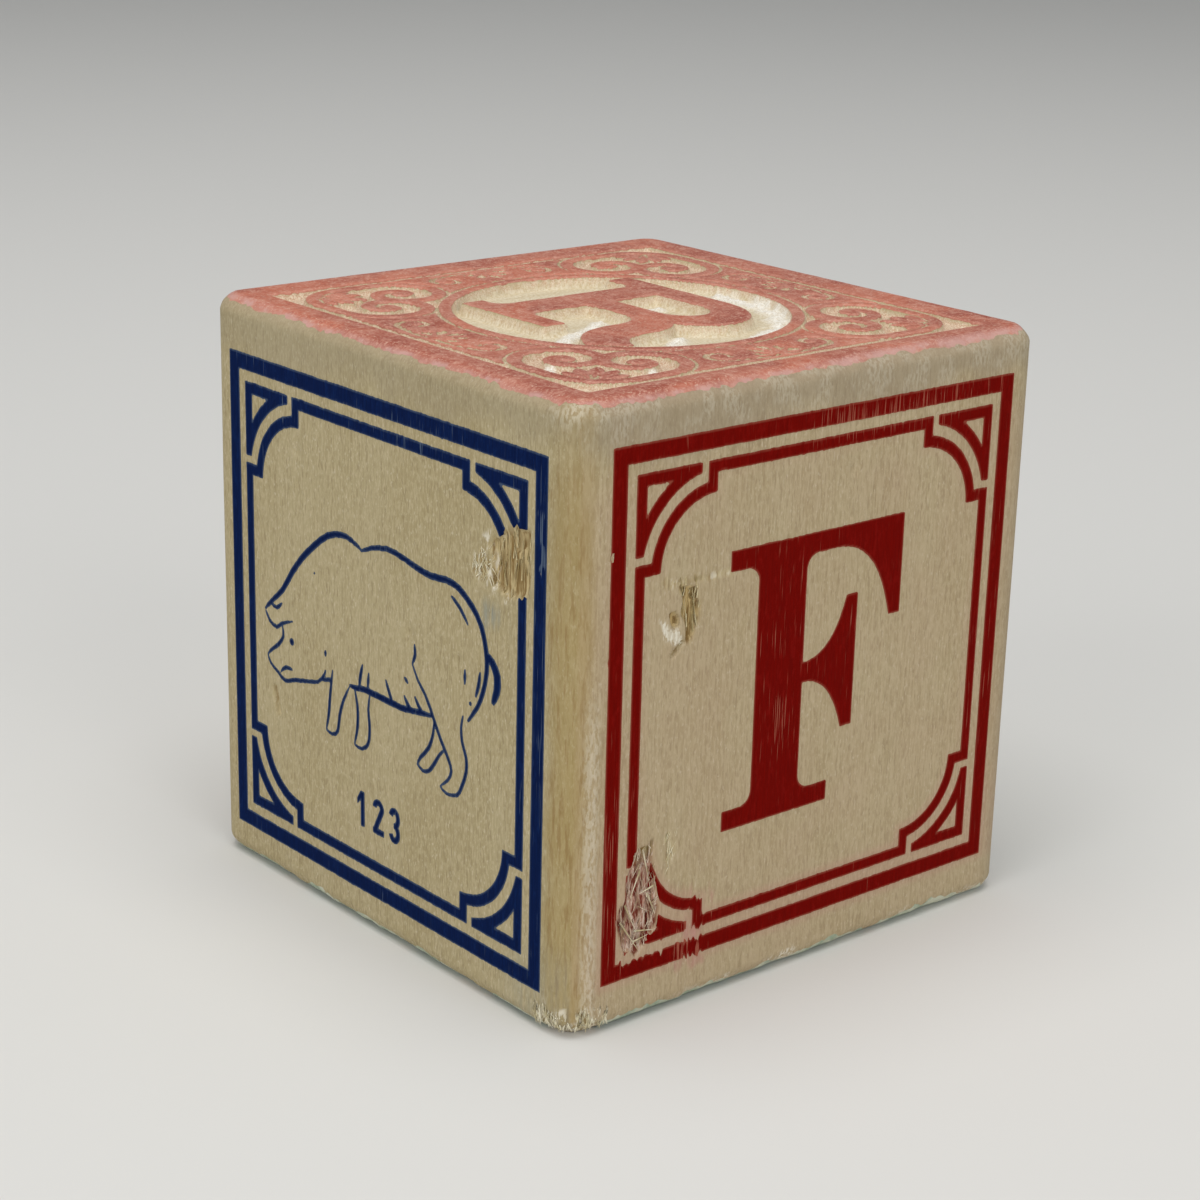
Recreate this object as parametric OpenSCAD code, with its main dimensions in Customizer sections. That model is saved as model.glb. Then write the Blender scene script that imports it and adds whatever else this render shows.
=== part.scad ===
// Wooden alphabet block. One cube of basswood with its grain upright.
// The four sides are printed in thin ink. The two ends are pressed in low relief,
// and their raised lands are rolled with paint.
// +Z is up, the front is -Y, the left side is -X. The origin is the middle of the base.

/* [Block] */
// Width and depth of the wooden cube
block_w = 44.5; // [42:0.5:50]
// Height of the wooden cube, along its grain
block_h = 45.2; // [43:0.1:50]
// Rounding of the four upright edges
edge_r = 2.4; // [1:0.1:2.8]
// Rounding of the top and bottom rims
rim_r = 1.2; // [0.6:0.1:2]

/* [Printed frames] */
// Thickness of the ink on the four sides
ink_t = 0.06; // [0.04:0.01:0.2]
// Distance from an upright edge of the block to a printed frame
side_margin = 3.0; // [2.9:0.1:3.6]
// Distance from the top or bottom of the block to a printed frame
end_margin = 3.4; // [3:0.1:4]
// How far the front print sits above the middle of its side
front_shift = 0.2; // [-0.6:0.1:0.6]
// How far the picture print sits above the middle of its side
left_shift = -0.5; // [-0.6:0.1:0.6]
// Width of the outer printed line
outer_line_w = 1.27; // [0.8:0.01:1.6]
// Bare gap between the outer and the inner line
line_gap = 0.82; // [0.5:0.01:1.2]
// Width of the inner printed line
inner_line_w = 0.87; // [0.5:0.01:1.2]
// Inside radius of the inner line's round corners
corner_r = 4.9; // [4:0.1:6]
// From the inner line's outer edge to the middle of its corner arc
corner_reach = 7.16; // [6.9:0.01:8]
// Bare gap between the corner arc and its spandrel
spandrel_gap = 0.83; // [0.5:0.01:1]
// Length of a spandrel along each side of its corner
spandrel_len = 5.72; // [5:0.01:6]
// Width of the strips round a spandrel's window
spandrel_line_w = 0.9; // [0.6:0.01:1]

/* [Printed letters] */
// Height of a printed letter or numeral
letter_h = 20.7; // [16:0.1:22]
// Width of a printed letter or numeral
letter_w = 16.9; // [15:0.1:18]
// Width of a thick stem
stem_w = 4.6; // [3:0.1:5]
// Thickness of a serif
serif_t = 1.5; // [1:0.1:2]
// Rounding where a serif meets its stem
bracket_r = 1.1; // [0.4:0.1:1.4]
// Width of a thin arm's tip
tip_w = 1.1; // [0.7:0.1:1.5]

/* [Pig picture] */
// Gap between the pig's snout or tail and the inner line
pig_gap = 1.29; // [0.8:0.01:3]
// How far the middle of the pig sits above the middle of its print
pig_rise = 0.3; // [-1:0.1:1]
// Width of the outline along the pig's back
back_line_w = 0.62; // [0.4:0.01:0.8]
// Width of the pig's other lines
pig_line_w = 0.42; // [0.3:0.01:0.6]
// Height of the small numerals under the picture
caption_h = 2.8; // [2:0.1:3.4]
// Width of the numerals' strokes
caption_line_w = 0.48; // [0.3:0.01:0.6]
// Gap between the numerals and the inner line under them
caption_gap = 2.24; // [1.6:0.01:3]

/* [Pressed ends] */
// How far the top's pattern sits to the right of the middle
press_shift_x = -0.3; // [-0.6:0.1:0.6]
// How far the top's pattern sits behind the middle
press_shift_y = -0.5; // [-0.6:0.1:0.6]
// Thickness of the paint on the raised lands
paint_t = 0.06; // [0.04:0.01:0.2]
// Width of the plain land along each side of an end
border_w = 3.4; // [3:0.1:4]
// Width of the square groove inside the plain land
groove_w = 0.66; // [0.4:0.01:1]
// Depth of the pressed ground round the scrolls
relief_depth = 0.5; // [0.3:0.05:0.8]
// Depth of the round medallion
medallion_depth = 0.8; // [0.5:0.05:1.2]
// Width of the band of scrolls between the groove and the ring
scroll_band_w = 4.54; // [4.2:0.01:5]
// Width of the raised ring round the medallion
ring_w = 0.95; // [0.6:0.01:1.2]
// Width of the fine grooves between lands
vein_w = 0.36; // [0.25:0.01:0.5]
// Width of the scroll bands in the corners
scroll_w = 1.1; // [0.6:0.01:1.1]
// Height of a pressed letter, as a share of the medallion's width
pressed_letter_share = 0.67; // [0.6:0.01:0.69]
// Width of a pressed letter's thick stem
pressed_stem_w = 3.6; // [2.6:0.1:3.8]
// Thickness of a pressed letter's serifs
pressed_serif_t = 2.0; // [1.4:0.1:2.4]

/* [Hidden] */
$fn = 64;

red = "firebrick";
blue = "midnightblue";
green = "seagreen";
gold = "goldenrod";
wood = "burlywood";

// Every cut runs this far past what it cuts
overrun = 1;
half_w = block_w / 2;
top_z = paint_t + block_h;
press_shift = [press_shift_x, press_shift_y];
mid_z = paint_t + block_h / 2;
frame_w = block_w - 2 * side_margin;
frame_h = block_h - 2 * end_margin;
inner_w = frame_w - 2 * (outer_line_w + line_gap);
inner_h = frame_h - 2 * (outer_line_w + line_gap);
field_half = half_w - border_w - groove_w;
// From the middle of an end to the outside of its ring
ring_out = field_half - scroll_band_w;
medallion_r = ring_out - ring_w;
pressed_h = 2 * medallion_r * pressed_letter_share;
// The pig fills the panel from side to side, or from top to bottom if that is less
pig_w = min(inner_w, inner_h) - 2 * (inner_line_w + pig_gap);
caption_drop = inner_h / 2 - inner_line_w - caption_gap - caption_h / 2;
// Segments in a quarter turn of a drawn curve
quarter_steps = 10;

// Curves

function signed_area(p) =
    [for (k = [0:len(p) - 1]) cross(p[k], p[(k + 1) % len(p)])] * [for (q = p) 1] / 2;

// A polygon that runs anticlockwise, so that shapes laid over each other join
module outline(p) {
    polygon(signed_area(p) > 0 ? p : [for (k = [len(p) - 1:-1:0]) p[k]]);
}

function flipped_x(p, side) = [for (q = p) [side * q.x, q.y]];

function swapped(p, side) = side == 0 ? p : [for (q = p) [q.y, q.x]];

function arc(centre, radii, from, to) =
    let (n = max(2, ceil(abs(to - from) / 90 * quarter_steps)))
    [for (k = [0:n])
        let (a = from + (to - from) * k / n)
        [centre.x + radii.x * cos(a), centre.y + radii.y * sin(a)]];

function bezier(a, b, c, d, n = quarter_steps) =
    [for (k = [0:n])
        let (t = k / n, s = 1 - t)
        s * s * s * a + 3 * s * s * t * b + 3 * s * t * t * c + t * t * t * d];

// A smooth path through points, two pieces to a step
function through(p, n = 2) =
    let (last = len(p) - 1)
    concat([for (i = [0:last - 1], k = [0:n - 1])
        let (a = p[max(i - 1, 0)], b = p[i], c = p[i + 1], d = p[min(i + 2, last)], t = k / n)
        b + t * (c - a) / 2
            + t * t * (2 * a - 5 * b + 4 * c - d) / 2
            + t * t * t * (3 * b - a - 3 * c + d) / 2],
        [p[last]]);

function across(p, k) =
    let (d = p[min(k + 1, len(p) - 1)] - p[max(k - 1, 0)])
    [-d.y, d.x] / norm(d);

// The outline of a pen line that swells from its tips to full width in its middle
function pen_line(p, w, tip_share) =
    let (n = len(p) - 1,
        half = [for (k = [0:n]) w / 2 * (tip_share + (1 - tip_share) * sqrt(sin(180 * k / n)))])
    concat([for (k = [0:n]) p[k] + across(p, k) * half[k]],
        [for (k = [n:-1:0]) p[k] - across(p, k) * half[k]]);

function spiral(centre, r_from, r_to, a_from, a_to) =
    let (n = ceil(abs(a_to - a_from) / 90 * quarter_steps * 0.7))
    [for (k = [0:n])
        let (a = a_from + (a_to - a_from) * k / n, r = r_from + (r_to - r_from) * k / n)
        [centre.x + r * cos(a), centre.y + r * sin(a)]];

// The wooden cube

module rounded_square(w, h, r) {
    square([w - 2 * r, h], center = true);
    square([w, h - 2 * r], center = true);
    for (x = [-1, 1], y = [-1, 1])
        translate([x * (w / 2 - r), y * (h / 2 - r)])
            circle(r);
}

module cube_with_round_edges() {
    intersection() {
        translate([0, 0, paint_t])
            linear_extrude(block_h)
                rounded_square(block_w, block_w, edge_r);
        translate([0, half_w, mid_z])
            rotate([90, 0, 0])
                linear_extrude(block_w)
                    rounded_square(block_w, block_h, rim_r);
        translate([-half_w, 0, mid_z])
            rotate([90, 0, 90])
                linear_extrude(block_w)
                    rounded_square(block_w, block_h, rim_r);
    }
}

// Printed frame

module outer_border_2d() {
    difference() {
        square([frame_w, frame_h], center = true);
        square([frame_w - 2 * outer_line_w, frame_h - 2 * outer_line_w], center = true);
    }
}

module at_inner_corners() {
    for (x = [-1, 1], y = [-1, 1])
        translate([x * (inner_w / 2 - corner_reach), y * (inner_h / 2 - corner_reach)])
            children();
}

module stepped_panel_2d(inset, arm, r) {
    square([inner_w - 2 * arm, inner_h - 2 * inset], center = true);
    square([inner_w - 2 * inset, inner_h - 2 * arm], center = true);
    at_inner_corners()
        circle(r);
}

module inner_border_2d() {
    difference() {
        stepped_panel_2d(0, corner_reach - inner_line_w, corner_r + inner_line_w);
        stepped_panel_2d(inner_line_w, corner_reach, corner_r);
    }
}

module spandrel_2d() {
    arc_r = corner_r + inner_line_w + spandrel_gap;
    window = corner_reach - spandrel_line_w;
    difference() {
        translate([corner_reach - spandrel_len, corner_reach - spandrel_len])
            square(spandrel_len);
        circle(arc_r);
        difference() {
            square(window);
            circle(arc_r + spandrel_line_w);
        }
    }
}

module corner_spandrels_2d() {
    for (x = [0, 1], y = [0, 1])
        mirror([x, 0])
            mirror([0, y])
                translate([inner_w / 2 - corner_reach, inner_h / 2 - corner_reach])
                    spandrel_2d();
}

// Printed letters and numerals, drawn from the middle of their own box

module stem_2d(x, w, foot_l, foot_r, head_l, head_r, h, t) {
    translate([x, 0]) {
        translate([-w / 2, -h / 2])
            square([w, h]);
        serif_2d(w, foot_l, foot_r, h, t);
        mirror([0, 1])
            serif_2d(w, head_l, head_r, h, t);
    }
}

// A slab under a stem, with a round bracket on each side that it reaches past
module serif_2d(w, reach_l, reach_r, h, t) {
    translate([-w / 2 - reach_l, -h / 2])
        square([w + reach_l + reach_r, t]);
    if (reach_l > 0)
        bracket_2d(-w / 2, -h / 2 + t, -1);
    if (reach_r > 0)
        bracket_2d(w / 2, -h / 2 + t, 1);
}

module bracket_2d(x, y, side) {
    translate([x, y])
        mirror([side > 0 ? 0 : 1, 0])
            difference() {
                square(bracket_r);
                translate([bracket_r, bracket_r])
                    circle(bracket_r);
            }
}

// An arm that keeps its thickness as far as its run, then thickens below to a drooping tip
function arm(from, run, to, top, t, drop) =
    let (start = [run, top - t], tip = [to - tip_w, top - drop], reach = tip.x - run)
    concat([[from, top - t], [from, top], [to, top], [to, top - drop]],
        bezier(tip, [tip.x - 0.13 * reach, tip.y + 0.5 * (start.y - tip.y)],
            [run + 0.6 * reach, start.y], start));

// A middle arm, narrow at its waist, with a tip that flares both ways
function waisted_arm(from, to, y, waist, flare) =
    let (tip = [to - tip_w, flare], reach = tip.x - from,
        upper = concat([[to, flare]],
            bezier(tip, [tip.x - 0.2 * reach, waist + 0.3 * flare], [from + 0.5 * reach, waist], [from, waist])))
    [for (q = concat([for (k = [len(upper) - 1:-1:0]) [upper[k].x, -upper[k].y]], upper)) q + [0, y]];

module letter_f_2d() {
    stem_x = -letter_w / 2 + 0.16 * letter_w + stem_w / 2;
    foot = 0.16 * letter_w;
    top = letter_h / 2;
    stem_2d(stem_x, stem_w, foot, foot * 1.1, foot, bracket_r * 1.2, letter_h, serif_t);
    outline(arm(stem_x, 0.11 * letter_w, letter_w / 2, top, serif_t, letter_h * 0.365));
    outline(concat([[stem_x, -serif_t / 2]],
        waisted_arm(stem_x + stem_w / 2, letter_w * 0.24, letter_h * 0.004, serif_t / 2, letter_h * 0.243),
        [[stem_x, serif_t / 2]]));
}

module letter_t_2d() {
    foot = 0.16 * letter_w;
    under = bracket_r * 1.2;
    stem_2d(0, stem_w, foot, foot, under, under, letter_h, serif_t);
    for (side = [-1, 1])
        outline(flipped_x(arm(0, 0.22 * letter_w, letter_w / 2, letter_h / 2, serif_t, letter_h * 0.34), side));
}

module numeral_4_2d() {
    stem_x = 0.16 * letter_w;
    bar_y = -0.24 * letter_h;
    foot = 0.15 * letter_w;
    thin = 0.1 * letter_w;
    left = -0.46 * letter_w;
    top = letter_h / 2;
    bend = stem_w * 0.55;
    stem_2d(stem_x, stem_w, foot, foot, 0, 0, letter_h, serif_t);
    translate([left, bar_y])
        square([0.92 * letter_w, serif_t]);
    outline([
        [left, bar_y], [left + serif_t, bar_y], [left + thin + serif_t, bar_y + serif_t],
        [stem_x - stem_w / 2, top - bend * 2.2], [stem_x, top - bend], [stem_x, top],
        [stem_x - stem_w / 2, top], [left, bar_y + serif_t]
    ]);
}

// Pig picture. Places are shares of the pig's length, from its middle, with the snout on the left.

pig_bold_shares = [
    // Neck and shoulder
    [[-0.500, -0.022], [-0.462, 0.012], [-0.416, 0.051], [-0.370, 0.110], [-0.325, 0.158], [-0.270, 0.204],
     [-0.212, 0.243], [-0.155, 0.260], [-0.110, 0.258], [-0.066, 0.242]],
    // Back, rump and ham
    [[-0.072, 0.240], [-0.025, 0.258], [0.038, 0.272], [0.096, 0.268], [0.160, 0.256], [0.218, 0.250],
     [0.275, 0.256], [0.325, 0.248], [0.374, 0.219], [0.410, 0.180], [0.429, 0.126], [0.432, 0.076],
     [0.418, 0.020], [0.396, -0.024], [0.360, -0.068]],
    // Belly
    [[-0.124, -0.120], [-0.090, -0.118], [-0.054, -0.112], [0.024, -0.112], [0.103, -0.112], [0.175, -0.102],
     [0.228, -0.096]]
];
pig_tail_shares = [[0.430, 0.118], [0.452, 0.104], [0.471, 0.076], [0.470, 0.038], [0.454, 0.002]];
pig_line_shares = [
    // Ear
    [[-0.498, -0.024], [-0.478, -0.048], [-0.446, -0.056], [-0.420, -0.040], [-0.369, -0.021]],
    [[-0.470, 0.000], [-0.444, -0.004], [-0.418, 0.016]],
    // Face
    [[-0.420, -0.046], [-0.416, -0.074], [-0.438, -0.100], [-0.468, -0.122], [-0.492, -0.142]],
    // Snout and jaw
    [[-0.491, -0.140], [-0.477, -0.162], [-0.442, -0.178], [-0.411, -0.192], [-0.369, -0.178], [-0.327, -0.168],
     [-0.262, -0.152], [-0.232, -0.124], [-0.226, -0.108]],
    // Mouth
    [[-0.432, -0.174], [-0.405, -0.154], [-0.373, -0.153]],
    // Jowl
    [[-0.228, -0.076], [-0.225, -0.056]],
    [[-0.244, -0.142], [-0.214, -0.132], [-0.198, -0.128]],
    // Near foreleg
    [[-0.194, -0.098], [-0.206, -0.166], [-0.213, -0.222], [-0.225, -0.268]],
    [[-0.227, -0.268], [-0.198, -0.272], [-0.174, -0.256], [-0.165, -0.212], [-0.148, -0.167], [-0.122, -0.124]],
    // Far foreleg
    [[-0.100, -0.120], [-0.088, -0.160], [-0.086, -0.196], [-0.090, -0.232], [-0.102, -0.268]],
    [[-0.104, -0.268], [-0.080, -0.273], [-0.054, -0.263], [-0.038, -0.238], [-0.036, -0.196], [-0.041, -0.160],
     [-0.034, -0.118]],
    // Far hind leg
    [[0.230, -0.104], [0.226, -0.140], [0.208, -0.182], [0.176, -0.216], [0.162, -0.238]],
    [[0.160, -0.236], [0.185, -0.247], [0.210, -0.239], [0.229, -0.217], [0.250, -0.188], [0.272, -0.166]],
    // Flank and near hind leg
    [[0.150, 0.066], [0.153, 0.036], [0.141, 0.012]],
    [[0.140, 0.014], [0.164, -0.022], [0.196, -0.053], [0.226, -0.098], [0.257, -0.146], [0.286, -0.184],
     [0.299, -0.212], [0.284, -0.240], [0.254, -0.264]],
    [[0.252, -0.264], [0.280, -0.275], [0.320, -0.267], [0.340, -0.238], [0.357, -0.196], [0.356, -0.160],
     [0.340, -0.125], [0.336, -0.088], [0.344, -0.056]],
    // Hairs and folds on the belly, ham and rump
    [[-0.064, -0.046], [-0.074, -0.082], [-0.080, -0.114]],
    [[-0.038, -0.060], [-0.044, -0.112]],
    [[0.032, -0.058], [0.048, -0.090], [0.062, -0.110]],
    [[0.108, -0.076], [0.122, -0.094], [0.138, -0.106]],
    [[0.108, -0.028], [0.126, -0.044]],
    [[0.150, -0.066], [0.166, -0.086], [0.186, -0.100]],
    [[0.292, 0.224], [0.328, 0.202], [0.362, 0.168]],
    [[0.349, 0.060], [0.349, 0.018]],
    [[0.408, 0.070], [0.402, 0.034], [0.390, 0.000]],
    [[0.374, -0.014], [0.368, -0.026]]
];
pig_eye_share = [-0.377, -0.078];
pig_dot_share = [-0.272, 0.132];
pen_tip_share = 0.45;

module pen_2d(shares, w) {
    outline(pen_line(through([for (s = shares) s * pig_w]), w, pen_tip_share));
}

module pig_2d() {
    for (shares = pig_bold_shares)
        pen_2d(shares, back_line_w);
    pen_2d(pig_tail_shares, back_line_w * 1.4);
    for (shares = pig_line_shares)
        pen_2d(shares, pig_line_w);
    translate(pig_eye_share * pig_w)
        circle(pig_line_w * 0.8);
    translate(pig_dot_share * pig_w)
        circle(pig_line_w / 3);
}

// Small upright numerals, each in a narrow box that it fills

module caption_2d() {
    digit_w = caption_h * 0.5;
    pitch = caption_h * 0.72;
    r = digit_w / 2;
    low = -caption_h / 2;
    high = caption_h / 2;
    pen_half = caption_line_w / 2;
    translate([-pitch, 0]) {
        translate([-pen_half, low])
            square([caption_line_w, caption_h]);
        outline([
            [0, high], [-pen_half, high], [-r, high - r], [-r, high - r - caption_line_w],
            [-pen_half, high - caption_line_w * 1.5], [0, high - caption_line_w * 1.5]
        ]);
    }
    outline(pen_line(concat(
        arc([0, high - r], [1, 1] * (r - pen_half), 180, -35), [[pen_half - r, low + pen_half]]),
        caption_line_w, 1));
    translate([-r, low])
        square([digit_w, caption_line_w]);
    bowl = caption_h / 4 + pen_half / 2;
    translate([pitch, 0])
        for (side = [-1, 1])
            outline(pen_line(
                arc([0, side * (high - bowl)], [r, bowl] - [1, 1] * pen_half, side * 165, side * -100),
                caption_line_w, 1));
}

// Pressed ends, drawn on the plane from the middle of the block

module border_land_2d(shift) {
    difference() {
        square(block_w - 2 * rim_r, center = true);
        translate(shift)
            square(2 * (field_half + groove_w), center = true);
    }
}

module ring_2d() {
    difference() {
        circle(ring_out);
        circle(medallion_r);
    }
}

// Two scrolls leave each corner of the field along its sides, and curl in towards its diagonal.
// Places are measured from the field's corner, in shares of the corner's reach to the ring.
corner_cell = field_half - (ring_out + vein_w) / sqrt(2);
volute_share = [0.53, 0.94];
volute = volute_share * corner_cell;
lyre_inset = scroll_w / 2;
volute_r = volute.x - lyre_inset;
eye_r = scroll_w * 0.62;

// A petal from a place, along a direction, with a narrow foot and a round head
function petal(from, length, w, direction) =
    [for (k = [0:2 * quarter_steps - 1])
        let (t = k / quarter_steps, side = t <= 1 ? 1 : -1, s = t <= 1 ? t : 2 - t,
            x = s * length, y = side * w / 2 * sin(180 * s * s))
        from + [x * cos(direction) - y * sin(direction), x * sin(direction) + y * cos(direction)]];

module corner_scroll_2d() {
    for (side = [0, 1]) {
        outline(swapped(pen_line(concat(
            arc([volute.x, volute.x], [volute_r, volute_r], 230, 180),
            spiral(volute, volute_r, 0.5 * eye_r, 180, -320)), scroll_w, 0.8), side));
        translate(swapped([volute], side)[0])
            circle(eye_r);
    }
    for (k = [-2:2])
        outline(petal([0.23, 0.23] * corner_cell, (0.47 - 0.05 * abs(k)) * corner_cell,
            (0.13 - 0.01 * abs(k)) * corner_cell, 45 + 25 * k));
}

module corner_scrolls_2d() {
    for (quarter = [0:3])
        rotate(90 * quarter)
            translate([-field_half, -field_half])
                corner_scroll_2d();
}

// Between the corner scrolls each side has a panel with leafy lines pressed into it
module side_panel_2d() {
    reach = field_half - volute.y;
    depth = field_half - ring_out - vein_w;
    // The volute tightens as it turns, so the room that it needs is smaller than its widest turn
    room_r = 0.9 * volute_r + scroll_w / 2 + vein_w;
    difference() {
        translate([-reach, -field_half])
            square([2 * reach, depth * 2]);
        circle(ring_out + vein_w);
        for (side = [-1, 1]) {
            translate([side * (reach + 0.1 * volute_r), volute.x - field_half - 0.08 * volute_r])
                circle(room_r);
            translate([0, -field_half])
                side_veins_2d(side, reach, depth);
        }
    }
}

// A curl and three petals. The petal in the middle is shared by both sides.
module side_veins_2d(side, reach, depth) {
    eye = [0.42 * reach, 0.56 * depth];
    r = 0.34 * depth;
    curl_steps = 1.5 * quarter_steps;
    outline(flipped_x(pen_line(concat(
        bezier([vein_w, 0.15 * depth], [0.12 * reach, 0.08 * depth],
            [0.24 * reach, 0.13 * depth], [eye.x, eye.y - r], quarter_steps / 2),
        [for (k = [1:curl_steps])
            let (a = -90 + 330 * k / curl_steps, s = 1 - 0.6 * k / curl_steps)
            eye + r * s * [cos(a), sin(a)]]), 1.4 * vein_w, 0.6), side));
    foot = 0.12 * depth;
    for (k = [0:2])
        let (direction = 90 - 36 * k)
            outline(flipped_x(petal([0, 0.2 * depth] + foot * [cos(direction), sin(direction)],
                (0.54 - 0.07 * k) * depth, 0.19 * depth, direction), side));
}

module side_scrolls_2d() {
    for (quarter = [0:3])
        rotate(90 * quarter)
            side_panel_2d();
}

// Pressed letters are kept clear of the medallion's wall
module in_medallion() {
    intersection() {
        circle(medallion_r - vein_w);
        children();
    }
}

// The letter stands with its head towards +X
module letter_r_2d() {
    in_medallion()
        rotate(-90)
            letter_r_shape_2d();
}

module letter_r_shape_2d() {
    h = pressed_h;
    high = h / 2;
    stem_x = -0.275 * h;
    stem_r = stem_x + pressed_stem_w / 2;
    bowl_r = 0.49 * h;
    bowl_turn = 0.12 * h;
    bowl_h = 0.275 * h;
    bowl_mid = high - bowl_h;
    thin = 0.15 * h;
    stem_2d(stem_x, pressed_stem_w, 0.12 * h, 0.25 * h, 0.165 * h, 0, h, pressed_serif_t);
    difference() {
        outline(concat([[stem_x, bowl_mid - bowl_h], [stem_x, high]],
            arc([bowl_turn, bowl_mid], [bowl_r - bowl_turn, bowl_h], 90, -90)));
        outline(concat([[stem_r, bowl_mid - bowl_h + thin], [stem_r, high - thin]],
            arc([bowl_turn, bowl_mid], [bowl_r - bowl_turn - pressed_stem_w, bowl_h - thin], 90, -90)));
    }
    leg_l = 0.22 * h;
    leg_r = leg_l + pressed_stem_w;
    leg_bend = -0.24 * h;
    outline(concat(
        bezier([0.02 * h, bowl_mid - bowl_h], [0.16 * h, bowl_mid - bowl_h], [leg_l, -0.10 * h], [leg_l, leg_bend]),
        bezier([leg_l, leg_bend], [leg_l, -0.42 * h], [0.30 * h, -0.52 * h], [0.50 * h, -0.60 * h]),
        bezier([0.58 * h, -0.42 * h], [0.50 * h, -0.40 * h], [leg_r, -0.34 * h], [leg_r, leg_bend]),
        bezier([leg_r, leg_bend], [leg_r, -0.04 * h], [0.34 * h, 0.02 * h], [0.24 * h, 0.06 * h]),
        [[0.02 * h, 0.06 * h]]));
}

// The letter on the base, seen from below
module letter_h_2d() {
    h = pressed_h;
    x = 0.30 * h;
    foot = 0.10 * h;
    in_medallion() {
        for (side = [-1, 1])
            stem_2d(side * x, pressed_stem_w, foot, foot, foot, foot, h * 0.9, pressed_serif_t);
        square([2 * x, pressed_serif_t * 1.1], center = true);
    }
}

// The pressed ground of one end, below a face at height zero
module pressed_ground(letter) {
    translate([0, 0, -relief_depth])
        linear_extrude(relief_depth + overrun)
            difference() {
                square(2 * (field_half + groove_w), center = true);
                circle(ring_out);
                corner_scrolls_2d();
                side_scrolls_2d();
            }
    translate([0, 0, -medallion_depth])
        linear_extrude(medallion_depth + overrun)
            difference() {
                circle(medallion_r);
                if (letter == "R")
                    letter_r_2d();
                else
                    letter_h_2d();
            }
}

module wood_block() {
    color(wood)
        difference() {
            cube_with_round_edges();
            translate([press_shift.x, press_shift.y, top_z])
                pressed_ground("R");
            translate([0, 0, paint_t])
                mirror([0, 0, 1])
                    pressed_ground("H");
        }
}

// Ink on a side. Turn 0 is the front, and the others follow round to the right.
module on_side(turn, shift, ink) {
    color(ink)
        rotate(90 * turn)
            translate([0, -half_w, mid_z + shift])
                rotate([90, 0, 0])
                    linear_extrude(ink_t)
                        children();
}

module on_front() on_side(0, front_shift, red) children();
module on_right() on_side(1, 0, green) children();
module on_back() on_side(2, 0, gold) children();
module on_left() on_side(3, left_shift, blue) children();

// Paint on the lands of an end
module on_top() {
    color(red)
        translate([0, 0, top_z])
            linear_extrude(paint_t)
                children();
}

module on_bottom() {
    color(green)
        linear_extrude(paint_t)
            children();
}

wood_block();
on_front() outer_border_2d();  // front_outer_border
on_front() inner_border_2d();  // front_inner_border
on_front() corner_spandrels_2d();  // front_corner_spandrels
on_front() letter_f_2d();  // front_letter
on_left() outer_border_2d();  // left_outer_border
on_left() inner_border_2d();  // left_inner_border
on_left() corner_spandrels_2d();  // left_corner_spandrels
on_left() translate([0, pig_rise]) pig_2d();  // left_pig
on_left() translate([0, -caption_drop]) caption_2d();  // left_caption
on_right() outer_border_2d();  // right_outer_border
on_right() inner_border_2d();  // right_inner_border
on_right() corner_spandrels_2d();  // right_corner_spandrels
on_right() numeral_4_2d();  // right_numeral
on_back() outer_border_2d();  // back_outer_border
on_back() inner_border_2d();  // back_inner_border
on_back() corner_spandrels_2d();  // back_corner_spandrels
on_back() letter_t_2d();  // back_letter
on_top() border_land_2d(press_shift);  // top_border_paint
on_top() translate(press_shift) ring_2d();  // top_ring_paint
on_top() translate(press_shift) corner_scrolls_2d();  // top_corner_scroll_paint
on_top() translate(press_shift) side_scrolls_2d();  // top_side_scroll_paint
on_top() translate(press_shift) letter_r_2d();  // top_letter_paint
on_bottom() border_land_2d([0, 0]);  // bottom_border_paint
on_bottom() ring_2d();  // bottom_ring_paint
on_bottom() corner_scrolls_2d();  // bottom_corner_scroll_paint
on_bottom() side_scrolls_2d();  // bottom_side_scroll_paint
on_bottom() letter_h_2d();  // bottom_letter_paint
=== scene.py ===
"""Looks of a worn basswood alphabet block.

The cube is one solid of wood with its grain upright. Its four sides are printed in thin ink, and its
two ends are pressed in low relief and rolled with thin paint. Every shape is worked out in
millimetres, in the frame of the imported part, and turned to metres when its mesh is made.
"""

from math import cos, inf, pi, radians, sin

import bpy
import numpy as np
from mathutils import Matrix, Vector


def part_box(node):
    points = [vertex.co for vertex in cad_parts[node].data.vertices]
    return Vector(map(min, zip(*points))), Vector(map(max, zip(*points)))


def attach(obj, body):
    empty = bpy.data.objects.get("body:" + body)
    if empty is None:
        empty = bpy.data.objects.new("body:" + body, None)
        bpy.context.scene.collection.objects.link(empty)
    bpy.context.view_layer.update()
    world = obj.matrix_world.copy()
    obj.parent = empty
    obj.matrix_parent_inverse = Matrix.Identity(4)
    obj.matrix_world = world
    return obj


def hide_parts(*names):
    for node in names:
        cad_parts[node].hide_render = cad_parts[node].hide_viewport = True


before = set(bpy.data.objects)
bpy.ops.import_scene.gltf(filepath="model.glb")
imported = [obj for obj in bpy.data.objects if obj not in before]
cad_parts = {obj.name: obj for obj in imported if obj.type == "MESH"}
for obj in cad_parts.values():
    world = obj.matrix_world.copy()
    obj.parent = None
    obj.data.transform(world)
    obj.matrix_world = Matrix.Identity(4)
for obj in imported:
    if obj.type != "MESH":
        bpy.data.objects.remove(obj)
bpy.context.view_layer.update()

MM = 0.001

# The cube, in millimetres, at the size of the imported part
wood_low, wood_high = ([round(c / MM, 3) for c in corner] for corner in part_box("wood_block"))
HALF = wood_high[0]
BASE, TOP = wood_low[2], wood_high[2]
MID = (BASE + TOP) / 2
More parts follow.
